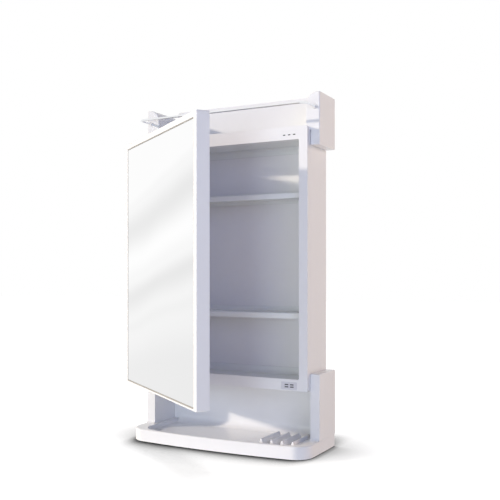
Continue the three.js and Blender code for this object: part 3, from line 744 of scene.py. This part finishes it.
def cutSlots(piece, slots, middleX, middleZ, face):
    for column in range(slots["columns"]):
        for line in range(slots["lines"]):
            left = middleX + (column - (slots["columns"] - 1) / 2) * slots["pitch"] - slots["width"] / 2
            foot = middleZ + (line - (slots["lines"] - 1) / 2) * slots["rise"] - catch["slotHeight"] / 2
            cutAway(piece, newBlock("slot", (left, face - past, foot),
                                    (left + slots["width"], face + catch["slotDeep"],
                                     foot + catch["slotHeight"])))


def catches():
    # the lower one, with two rows of slots, is a grey-lavender copy of the white plastic, painted shade of the
    # door's shadow it sits in; the upper one is white like the rail around it
    for row, color, slot in (("lower", shadedCatchPlastic, "catch"), ("upper", whitePlastic, "body")):
        low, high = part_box(row + "_catch_housing")
        magnetLow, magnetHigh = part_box(row + "_catch_magnet")
        piece = newBlock(row + "CatchHousing", low, high)
        roundEdges(piece, alongY, catch["corner"], 4)
        cutAway(piece, newBlock("pocket", (magnetLow[0] - hair, low[1] + catch["face"], magnetLow[2] - hair),
                                (magnetHigh[0] + hair, high[1] + past, magnetHigh[2] + hair)))
        cutSlots(piece, catch[row], middleOf(low, high, 0), middleOf(low, high, 2), low[1])
        softenEdges(piece, catch["soften"])
        finishPiece(piece, "cabinet", slot, color, row + "_catch_housing")
        inside = newBlock(row + "CatchMagnet", magnetLow, magnetHigh)
        softenEdges(inside, catch["magnetEdge"])
        finishPiece(inside, "cabinet", "magnet", magnet, row + "_catch_magnet")


# Floor, ceiling and shelves of the compartments; each meets the rear wall in a cove

liner = {"thick": 0.0035, "cove": 0.011, "tip": 0.0012, "soften": 0.0005, "belowSill": 0.002}
shelf = {"thick": 0.004, "lip": 0.009, "lipThick": 0.003, "cove": 0.008, "frontEdge": 0.0015}


def coveAtRear(piece, rear, level, radius, way):
    strip = rear - liner["tip"]
    pushFaces(piece, lambda mid, facing: facing.z * way > mostly and mid.y > strip and near(mid.z, level),
              (0, 0, way * radius))
    roundEdges(piece, lambda mid, run: abs(run.x) > mostly and near(mid.y, strip) and near(mid.z, level),
               radius * sweep, 10)


def compartmentEnd(name, node, face, way):
    low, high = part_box(node)
    outside = face - way * liner["thick"]
    bottom, top = min(face, outside), max(face, outside)
    piece = newBlock(name, (low[0], low[1], bottom), (high[0], high[1], top))
    leg = high[0] - shell["wall"]
    for x in (-leg, leg):
        sliceAt(piece, (x, 0, 0), (1, 0, 0))
    far = low[2] if way > 0 else high[2]
    pushFaces(piece, lambda mid, facing: facing.z * way < -mostly and abs(mid.x) > leg, (0, 0, far - outside))
    roundEdges(piece, lambda mid, way: alongY(mid, way) and near(mid.z, far) and near(abs(mid.x), high[0]),
               shell["corner"], 4)
    sliceAt(piece, (0, high[1] - liner["tip"], 0), (0, 1, 0))
    coveAtRear(piece, high[1], face, liner["cove"], way)
    softenEdges(piece, liner["soften"])
    finishPiece(piece, "cabinet", "interior", linerPlastic, node)


def shelves():
    low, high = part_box("upper_shelf")
    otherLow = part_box("lower_shelf")[0]
    top = high[2] - shelf["cove"]
    under = top - shelf["thick"]
    piece = newBlock("upperShelf", (low[0], low[1], under), (high[0], high[1], top))
    sliceAt(piece, (0, low[1] + shelf["lipThick"], 0), (0, 1, 0))
    sliceAt(piece, (0, high[1] - liner["tip"], 0), (0, 1, 0))
    lipEnd = low[1] + shelf["lipThick"]
    pushFaces(piece, lambda mid, facing: facing.z < -mostly and mid.y < lipEnd,
              (0, 0, shelf["thick"] - shelf["lip"]))
    coveAtRear(piece, high[1], top, shelf["cove"], 1)
    coveAtRear(piece, high[1], under, shelf["cove"], -1)
    roundEdges(piece, lambda mid, run: abs(run.x) > mostly and near(mid.y, low[1]) and near(mid.z, top),
               shelf["frontEdge"], 4)
    softenEdges(piece, liner["soften"])
    second = copyOf(piece, "lowerShelf", (0, 0, otherLow[2] - low[2]))
    smooth(second)
    finishPiece(piece, "cabinet", "interior", linerPlastic, "upper_shelf")
    finishPiece(second, "cabinet", "interior", linerPlastic, "lower_shelf")


peg = {"radius": 0.0025, "collarThick": 0.001, "soften": 0.0003}


def shelfPegs():
    low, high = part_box("upper_shelf_peg_right_front")
    collar = (high[1] - low[1]) / 2
    y = middleOf(low, high, 1)
    pinZ = high[2] - peg["radius"]
    pin = newRod("rightPeg", (low[0], y, pinZ), (high[0], y, pinZ), peg["radius"], 24)
    wallFace = shellHigh[0] - shell["wall"] - hair
    joinOnto(pin, newRod("collar", (wallFace - peg["collarThick"], y, high[2] - collar),
                         (wallFace, y, high[2] - collar), collar))
    softenEdges(pin, peg["soften"])
    mirror = copyOf(pin, "leftPeg", mirrored=True)
    for row in ("lower", "upper"):
        for place in ("front", "rear"):
            for side, source in (("right", pin), ("left", mirror)):
                node = "%s_shelf_peg_%s_%s" % (row, side, place)
                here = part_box(node)[0]
                twin = copyOf(source, row + side.capitalize() + place.capitalize() + "Peg",
                              (0, here[1] - low[1], here[2] - low[2]))
                smooth(twin)
                finishPiece(twin, "cabinet", "fittings", nylon, node)
    for spare in (pin, mirror):
        bpy.data.objects.remove(spare, do_unlink=True)


# Gallery: end panels, back panel, guard rail and its ferrules

gallery = {"round": 0.020, "soften": 0.0014, "softAngle": 50, "backCorner": 0.006, "backSoften": 0.0004}
rod = {"radius": 0.0019, "bend": 0.010, "sides": 20, "steps": 12, "smoothAngle": 60}
ferrule = {"endWall": 0.0007, "soften": 0.0004, "sides": 40}


def endPanels():
    step = shellHigh[2] + hair
    piece = newBlock("rightEndPanel", (panelLow[0], panelLow[1], step), panelHigh)
    beside = boxHalf + hair
    sliceAt(piece, (beside, 0, 0), (1, 0, 0))
    pushFaces(piece, lambda mid, facing: facing.z < -mostly and mid.x > beside, (0, 0, panelLow[2] - step))
    mergeFlat(piece)
    roundEdges(piece, lambda mid, way: alongY(mid, way) and near(mid.x, panelLow[0])
               and near(mid.z, panelHigh[2]), gallery["round"], 14)
    ferruleLow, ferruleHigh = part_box("right_rail_ferrule")
    x, z = middleOf(ferruleLow, ferruleHigh, 0), middleOf(ferruleLow, ferruleHigh, 2)
    cutAway(piece, newRod("bore", (x, panelLow[1] - past, z), (x, ferruleHigh[1] + hair, z),
                          (ferruleHigh[0] - ferruleLow[0]) / 2))
    softenEdges(piece, gallery["soften"], 3, gallery["softAngle"])
    left = copyOf(piece, "leftEndPanel", mirrored=True)
    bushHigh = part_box("upper_hinge_bush")[1]
    cutAway(left, newHingeRod("socket", panelLow[2] - past, bushHigh[2] + hair,
                              socketFor("upper_hinge_bush")))
    finishPair(piece, left, "end_panel")


def galleryBack():
    low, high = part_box("gallery_back_panel")
    reach = panelLow[0] + lap
    piece = newBlock("galleryBack", (-reach, low[1], low[2]), (reach, rearY - lap, high[2]))
    roundEdges(piece, lambda mid, way: alongY(mid, way) and mid.z > panelHigh[2], gallery["backCorner"], 8)
    softenEdges(piece, gallery["backSoften"])
    finishMoulding(piece, "gallery_back_panel")


def guardRail():
    low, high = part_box("guard_rail")
    radius = rod["radius"]
    sideX, endY, level = high[0] - radius, high[1], middleOf(low, high, 2)
    turnX, turnY = sideX - rod["bend"], low[1] + radius + rod["bend"]
    dropSelection()
    bpy.ops.mesh.primitive_circle_add(vertices=rod["sides"], radius=radius, fill_type="NGON",
                                      location=(sideX, endY, level), rotation=(math.radians(90), 0, 0))
    piece = settle("guardRail")
    pick(piece, "FACE", anywhere)
    bpy.ops.mesh.extrude_region_move(TRANSFORM_OT_translate={"value": (0, turnY - endY, 0)})
    bpy.ops.mesh.spin(steps=rod["steps"], angle=math.radians(90), center=(turnX, turnY, level),
                      axis=(0, 0, 1))
    bpy.ops.mesh.extrude_region_move(TRANSFORM_OT_translate={"value": (-2 * turnX, 0, 0)})
    bpy.ops.mesh.spin(steps=rod["steps"], angle=math.radians(90), center=(-turnX, turnY, level),
                      axis=(0, 0, 1))
    bpy.ops.mesh.extrude_region_move(TRANSFORM_OT_translate={"value": (0, endY - turnY, 0)})
    closeSeams()
    smooth(piece, rod["smoothAngle"])
    finishPiece(piece, "cabinet", "rail", chrome, "guard_rail")


def ferrules():
    low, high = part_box("right_rail_ferrule")
    x, z = middleOf(low, high, 0), middleOf(low, high, 2)
    piece = newRod("rightFerrule", (x, low[1], z), (x, high[1], z), (high[0] - low[0]) / 2,
                   ferrule["sides"])
    cutAway(piece, newRod("bore", (x, low[1] - past, z), (x, high[1] - ferrule["endWall"], z), rod["radius"]))
    softenEdges(piece, ferrule["soften"], 3)
    left = copyOf(piece, "leftFerrule", mirrored=True)
    finishPair(piece, left, "rail_ferrule")


baseTray()
basePlate()
pillars()
trayBack()
print("base made")
cabinetShell()
frontFrame()
catches()
compartmentEnd("compartmentFloor", "compartment_floor", sillTop - liner["belowSill"], 1)
compartmentEnd("compartmentCeiling", "compartment_ceiling", railBottom, -1)
shelves()
shelfPegs()
print("box made")
endPanels()
galleryBack()
guardRail()
ferrules()
print("gallery made")


# Door: drawn closed, then swung open about the hinge

door = {
    "sideLap": 0.022,  # beyond the box's sides
    "bottomLap": 0.0055,
    "topDrop": 0.006,
    "thick": 0.020,
    "clearance": 0.0015,
    "corner": 0.0025,
    "edge": 0.0012,
    "rim": 0.003,
    "panelThick": 0.002,
    "mirrorLeft": 0.017,
    "mirrorRight": 0.0134,
    "mirrorTop": 0.0105,
    "mirrorBottom": 0.0045,
    "glassSunk": 0.0004,
    "glassThick": 0.0025,
    "gasket": 0.0012,
    "panelEdge": 0.0005,
    "glassEdge": 0.0008,
    "gasketEdge": 0.0003,
}
doorRight = boxHalf + door["sideLap"]
doorLeft = -doorRight
doorBottom = boxBottom - door["bottomLap"]
doorTop = boxTop - door["topDrop"]
doorRear = frontY - door["clearance"]
doorFront = doorRear - door["thick"]
glassLeft = doorLeft + door["mirrorLeft"]
glassRight = doorRight - door["mirrorRight"]
glassBottom = doorBottom + door["mirrorBottom"]
glassTop = doorTop - door["mirrorTop"]

arm = {
    "thick": 0.011,
    "width": 0.014,
    "footLength": 0.034,
    "footThick": 0.003,
    "footHeight": 0.026,
    "screwAt": 0.027,  # from the foot's left end
    "screwHead": 0.0026,
    "screwLength": 0.009,
    "headDeep": 0.0012,
    "footCorner": 0.002,
    "roundShare": 0.999,
    "soften": 0.0006,
    "pin": 0.003,
}
pastFlange = bush["flangeThick"] + 2 * hair
armRows = {
    "lower": pillarHigh[2] + pastFlange,
    "upper": panelLow[2] - pastFlange - arm["thick"],
}
footLeft = hingeAt.x - arm["width"] / 2
footRear = doorRear - hair
footFront = footRear - arm["footThick"]

strike = {
    "width": 0.024,
    "height": 0.008,
    "thick": 0.001,
    "corner": 0.001,
    "soften": 0.0002,
    "inward": 0.002,  # from the middle of the magnet to that of the plate
    "sink": 0.0006,
    "screwHead": 0.0022,
    "headDeep": 0.0005,
    "screwLength": 0.006,
}
strikeX = middleOf(*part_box("lower_catch_magnet"), 0)
strikeRows = {
    "lower": middleOf(*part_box("lower_catch_magnet"), 2) + strike["inward"],
    "upper": middleOf(*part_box("upper_catch_magnet"), 2) - strike["inward"],
}


def footSpace(level, grow, front):
    middle = level + arm["thick"] / 2
    reach = arm["footHeight"] / 2 + grow
    return newBlock("footSpace", (footLeft - grow, front, middle - reach),
                    (footLeft + arm["footLength"] + grow, doorRear + past, middle + reach))


def doorFrame():
    piece = newBlock("doorFrame", (doorLeft, doorFront, doorBottom), (doorRight, doorRear, doorTop))
    roundEdges(piece, alongY, door["corner"], 5)
    grow = door["gasket"] + 2 * hair
    cutAway(piece, newBlock("seat", (glassLeft - grow, doorFront - past, glassBottom - grow),
                            (glassRight + grow, doorFront + door["glassSunk"] + door["glassThick"] + hair,
                             glassTop + grow)))
    rim = door["rim"]
    panelFace = doorRear - door["panelThick"] - 2 * hair
    cutAway(piece, newBlock("panelSeat", (doorLeft + rim, panelFace, doorBottom + rim),
                            (doorRight - rim, doorRear + past, doorTop - rim)))
    for level in armRows.values():
        cutAway(piece, footSpace(level, hair, footFront - hair))
    softenEdges(piece, door["edge"], 4)
    finishOnDoor(piece, "body", doorPlastic, "door_frame")


def doorBackPanel():
    reach = door["rim"] + hair
    face = doorRear - door["panelThick"] - hair
    piece = newBlock("doorBackPanel", (doorLeft + reach, face, doorBottom + reach),
                     (doorRight - reach, face + door["panelThick"], doorTop - reach))
    for level in armRows.values():
        cutAway(piece, footSpace(level, 2 * hair, face - past))
    reachX, reachZ = strike["width"] / 2 + hair, strike["height"] / 2 + hair
    for z in strikeRows.values():
        cutAway(piece, newBlock("strikeSpace",
                                (strikeX - reachX, doorRear - strike["thick"] - 2 * hair, z - reachZ),
                                (strikeX + reachX, doorRear + past, z + reachZ)))
    softenEdges(piece, door["panelEdge"])
    finishOnDoor(piece, "body", doorPlastic, "door_back_panel")


def mirrorGlass():
    front = doorFront + door["glassSunk"]
    piece = newBlock("mirrorGlass", (glassLeft, front, glassBottom),
                     (glassRight, front + door["glassThick"], glassTop))
    softenEdges(piece, door["glassEdge"])
    finishOnDoor(piece, "mirror", silver, "mirror_glass")


def mirrorGasket():
    front = doorFront + door["glassSunk"]
    grow = door["gasket"] + hair
    piece = newBlock("mirrorGasket", (glassLeft - grow, front, glassBottom - grow),
                     (glassRight + grow, front + door["glassThick"], glassTop + grow))
    cutAway(piece, newBlock("glassSpace", (glassLeft - hair, front - past, glassBottom - hair),
                            (glassRight + hair, front + past, glassTop + hair)))
    softenEdges(piece, door["gasketEdge"])
    # its grey is partly painted shade of the gap round the mirror's edge
    finishOnDoor(piece, "gasket", rubberAndGapShade, "mirror_gasket")


# Shares of a screw's head: the radius gives the widths and the head's depth gives the depths
screwShares = {
    "rim": 0.3,
    "shankStart": 0.5,
    "shank": 0.52,
    "crossReach": 0.62,
    "crossHalf": 0.13,
    "crossDeep": 0.5,
}
crossAbove = 0.001  # how far the body that cuts the cross stands above the head


def screw(name, face, way, headRadius, headDeep, length):
    # a round head with a cross recess; face is the middle of its top
    face, way = Vector(face), Vector(way)
    across = Vector((0, 0, 1)) if abs(way.z) < mostly else Vector((1, 0, 0))
    piece = newRod(name, face, face + way * headDeep, headRadius, 28)
    roundEdges(piece, lambda mid, run: near((mid - face).dot(way), 0),
               headDeep * screwShares["rim"], 3)
    joinOnto(piece, newRod("shank", face + way * headDeep * screwShares["shankStart"], face + way * length,
                           headRadius * screwShares["shank"], 20))
    for side in (across, across.cross(way)):
        half = side * headRadius * screwShares["crossReach"]
        half += side.cross(way) * headRadius * screwShares["crossHalf"]
        corner = face - half - way * crossAbove
        opposite = face + half + way * headDeep * screwShares["crossDeep"]
        low = [min(a, b) for a, b in zip(corner, opposite)]
        high = [max(a, b) for a, b in zip(corner, opposite)]
        cutAway(piece, newBlock("cross", low, high))
    smooth(piece)
    return piece


def hingeArm(row, level):
    half = arm["width"] / 2
    middle = level + arm["thick"] / 2
    piece = newBlock(row + "HingeArm", (hingeAt.x - half, footFront, level),
                     (hingeAt.x + half, hingeAt.y + half, level + arm["thick"]))
    roundEdges(piece, lambda mid, way: alongZ(mid, way) and near(mid.y, hingeAt.y + half),
               half * arm["roundShare"], 12)
    foot = newBlock("foot", (footLeft, footFront, middle - arm["footHeight"] / 2),
                    (footLeft + arm["footLength"], footRear, middle + arm["footHeight"] / 2))
    roundEdges(foot, lambda mid, way: alongY(mid, way) and not near(mid.x, footLeft), arm["footCorner"], 4)
    joinOnto(piece, foot)
    screwX = footLeft + arm["screwAt"]
    cutAway(piece, newRod("sink", (screwX, footRear - arm["headDeep"] - hair, middle),
                          (screwX, footRear + past, middle), arm["screwHead"] + hair))
    softenEdges(piece, arm["soften"], 3)
    finishOnDoor(piece, "body", whitePlastic, row + "_hinge_arm")
    bolt = screw(row + "ArmScrew", (screwX, footRear, middle), (0, -1, 0), arm["screwHead"],
                 arm["headDeep"], arm["screwLength"])
    finishOnDoor(bolt, "steel", zinc, row + "_arm_screw")


def hingePin(row):
    low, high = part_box(row + "_hinge_pin")
    pin = newHingeRod(row + "HingePin", low[2], high[2], arm["pin"], 40)
    softenEdges(pin, arm["soften"], 3)
    finishPiece(pin, "door", "steel", zinc, row + "_hinge_pin")


def hingeBush(row):
    # its flange is at the end that faces the arm
    low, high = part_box(row + "_hinge_bush")
    wide = (high[0] - low[0]) / 2
    face = high[2] if row == "lower" else low[2]
    inward = -bush["flangeThick"] if row == "lower" else bush["flangeThick"]
    piece = newHingeRod(row + "HingeBush", low[2], high[2], wide - bush["flange"], 40)
    joinOnto(piece, newHingeRod("flange", face, face + inward, wide, 48))
    cutAway(piece, newHingeRod("bore", low[2] - past, high[2] + past, arm["pin"] + bush["play"], 40))
    softenEdges(piece, bush["soften"])
    finishPiece(piece, "cabinet", "fittings", nylon, row + "_hinge_bush")


def strikePlates():
    face = doorRear - hair
    reachX, reachZ = strike["width"] / 2, strike["height"] / 2
    for row, z in strikeRows.items():
        piece = newBlock(row + "StrikePlate", (strikeX - reachX, face - strike["thick"], z - reachZ),
                         (strikeX + reachX, face, z + reachZ))
        roundEdges(piece, alongY, strike["corner"], 4)
        cutAway(piece, newRod("sink", (strikeX, face - strike["sink"], z), (strikeX, face + past, z),
                              strike["screwHead"] + hair))
        softenEdges(piece, strike["soften"])
        finishOnDoor(piece, "steel", zinc, row + "_strike_plate")
        bolt = screw(row + "StrikeScrew", (strikeX, face, z), (0, -1, 0), strike["screwHead"],
                     strike["headDeep"], strike["screwLength"])
        finishOnDoor(bolt, "steel", zinc, row + "_strike_screw")


def baseScrews():
    for i in range(1, plate["screws"] + 1):
        node = "base_screw_%d" % i
        low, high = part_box(node)
        middle = (middleOf(low, high, 0), middleOf(low, high, 1), low[2])
        bolt = screw("baseScrew%d" % i, middle, (0, 0, 1), (high[0] - low[0]) / 2, plate["headDeep"],
                     high[2] - low[2])
        finishPiece(bolt, "cabinet", "steel", zinc, node)


doorFrame()
doorBackPanel()
mirrorGlass()
mirrorGasket()
for row, level in armRows.items():
    hingeArm(row, level)
    hingePin(row)
    hingeBush(row)
strikePlates()
baseScrews()
print("door and fittings made")


# Looks of the carried-over nodes

looks = {
    "body": whitePlastic,
    "interior": linerPlastic,
    "rail": chrome,
    "mirror": silver,
    "gasket": rubberAndGapShade,
    "catch": shadedCatchPlastic,
    "magnet": magnet,
    "fittings": nylon,
    "steel": zinc,
}
for part in frame["record"]["subparts"]:
    node = frame["nodes"][part["node"]]
    node.data.materials.clear()
    node.data.materials.append(looks[part["material_slot"]])


# Camera, at the photograph's height and angle

view = {
    "azimuth": 27.7,
    "at": (0.6234, -1.1124, 0.288),
    "lens": 54.5,
    "film": 36,
    "rise": 0.044,
    "near": 0.01,
}
lens = bpy.data.cameras.new("camera")
camera = bpy.data.objects.new("camera", lens)
bpy.context.scene.collection.objects.link(camera)
camera.location = view["at"]
camera.rotation_euler = (math.radians(90), 0, math.radians(view["azimuth"]))
lens.lens = view["lens"]
lens.sensor_width = view["film"]
lens.shift_y = view["rise"]
lens.clip_start = view["near"]
bpy.context.scene.camera = camera


# Floor, lamps and world

key = {
    "azimuth": 61,  # to the left of straight ahead
    "height": 17,
    "soft": 2.5,
    "strength": 3.1,
    "color": (1.0, 0.89, 0.74),
}
lamps = {
    "lowFront": {"at": (0.3, -2.2, 0.2), "size": 0.8, "power": 15, "color": (0.8, 0.92, 1.0)},
    "coolRight": {"at": (1.8, -1.8, 0.8), "size": 1.2, "power": 9, "color": (0.35, 0.45, 1.0)},
    "warmRear": {"at": (2.0, 1.6, 0.8), "size": 1.4, "power": 25, "color": (1.0, 0.72, 0.42)},
}
lampAim = Vector((0, 0, 0.3))
sky = {"color": (0.82, 0.84, 1.0), "strength": 0.26}
ground = {
    "size": 12,
    "below": 0.0005,
    "color": (0.9, 0.9, 0.9),
    "glow": 1.3,
    "litShare": 0.25,
    "reach": 0.1,  # nearer than this the cabinet shades the floor
    "frontDepth": 4.8,
    "sideDepth": 1.5,
    "frontHalf": 0.145,
    "sideHalf": 0.175,
}


def eitherRay(tree, *kinds):
    # 1 on a ray of any of these kinds
    ray = newNode(tree, "LightPath")
    found = ray.outputs[kinds[0]]
    for kind in kinds[1:]:
        found = addMath(tree, "MAXIMUM", found, ray.outputs[kind])
    return found


def blend(tree, share, first, second):
    mix = newNode(tree, "MixShader")
    tree.links.new(share, mix.inputs[0])
    tree.links.new(first.outputs[0], mix.inputs[1])
    tree.links.new(second.outputs[0], mix.inputs[2])
    return mix


def contactShade(tree):
    # deep under the front edge and faint beside the cabinet
    contact = newNode(tree, "AmbientOcclusion", {"Distance": ground["reach"]})
    place = newNode(tree, "TexCoord")
    split = newNode(tree, "SeparateXYZ")
    tree.links.new(place.outputs["Object"], split.inputs[0])
    aside = addMath(tree, "ABSOLUTE", split.outputs["X"])
    depth = spread(tree, aside, ground["frontDepth"], ground["sideDepth"],
                   ground["frontHalf"], ground["sideHalf"])
    return addMath(tree, "POWER", contact.outputs["AO"], depth)


def floorMaterial():
    # the camera sees a pale glow with the shade, reflections see white, and other rays a plain surface
    material = bpy.data.materials.new("paleFloor")
    tree = emptyTree(material)
    out = newNode(tree, "OutputMaterial")
    plain = newNode(tree, "BsdfDiffuse", {"Color": (*ground["color"], 1)})
    glow = newNode(tree, "Emission", {"Strength": ground["glow"]})
    shaded = newNode(tree, "BsdfDiffuse")
    seen = newNode(tree, "MixShader", {"Fac": ground["litShare"]})
    shade = contactShade(tree)
    tree.links.new(shade, glow.inputs["Color"])
    tree.links.new(shade, shaded.inputs["Color"])
    tree.links.new(glow.outputs[0], seen.inputs[1])
    tree.links.new(shaded.outputs[0], seen.inputs[2])
    mirrored = newNode(tree, "Emission", {"Color": (1, 1, 1, 1)})
    direct = blend(tree, eitherRay(tree, "Is Camera Ray"), plain, seen)
    whole = blend(tree, eitherRay(tree, "Is Glossy Ray", "Is Transmission Ray"), direct, mirrored)
    tree.links.new(whole.outputs[0], out.inputs["Surface"])
    return material


def floor():
    dropSelection()
    bpy.ops.mesh.primitive_plane_add(size=ground["size"], location=(0, 0, -ground["below"]))
    piece = settle("floor")
    piece.data.materials.append(floorMaterial())


def hang(name, data, place, aim):
    lit = bpy.data.objects.new(name, data)
    bpy.context.scene.collection.objects.link(lit)
    lit.location = place
    lit.rotation_euler = aim.to_track_quat("-Z", "Y").to_euler()
    lit.visible_glossy = False
    return lit


def lamp(name, kind):
    data = bpy.data.lights.new(name, "AREA")
    data.shape = "DISK"
    data.size = kind["size"]
    data.energy = kind["power"]
    data.color = kind["color"]
    hang(name, data, kind["at"], lampAim - Vector(kind["at"])).visible_camera = False


def sun(name):
    data = bpy.data.lights.new(name, "SUN")
    data.angle = math.radians(key["soft"])
    data.energy = key["strength"]
    data.color = key["color"]
    turn, rise = math.radians(key["azimuth"]), math.radians(key["height"])
    toward = Vector((-math.sin(turn) * math.cos(rise), -math.cos(turn) * math.cos(rise), math.sin(rise)))
    hang(name, data, (0, 0, 0), -toward)


def surroundings():
    world = bpy.data.worlds.new("studio")
    bpy.context.scene.world = world
    tree = emptyTree(world)
    out = newNode(tree, "OutputWorld")
    ambient = newNode(tree, "Background", {"Color": (*sky["color"], 1), "Strength": sky["strength"]})
    seen = newNode(tree, "Background", {"Color": (1, 1, 1, 1), "Strength": 1.0})
    share = eitherRay(tree, "Is Camera Ray", "Is Glossy Ray", "Is Transmission Ray")
    tree.links.new(blend(tree, share, ambient, seen).outputs[0], out.inputs["Surface"])


floor()
sun("keyLeft")
for name, kind in lamps.items():
    lamp(name, kind)
surroundings()
bpy.context.scene.view_settings.view_transform = "Standard"
print("camera and light made")
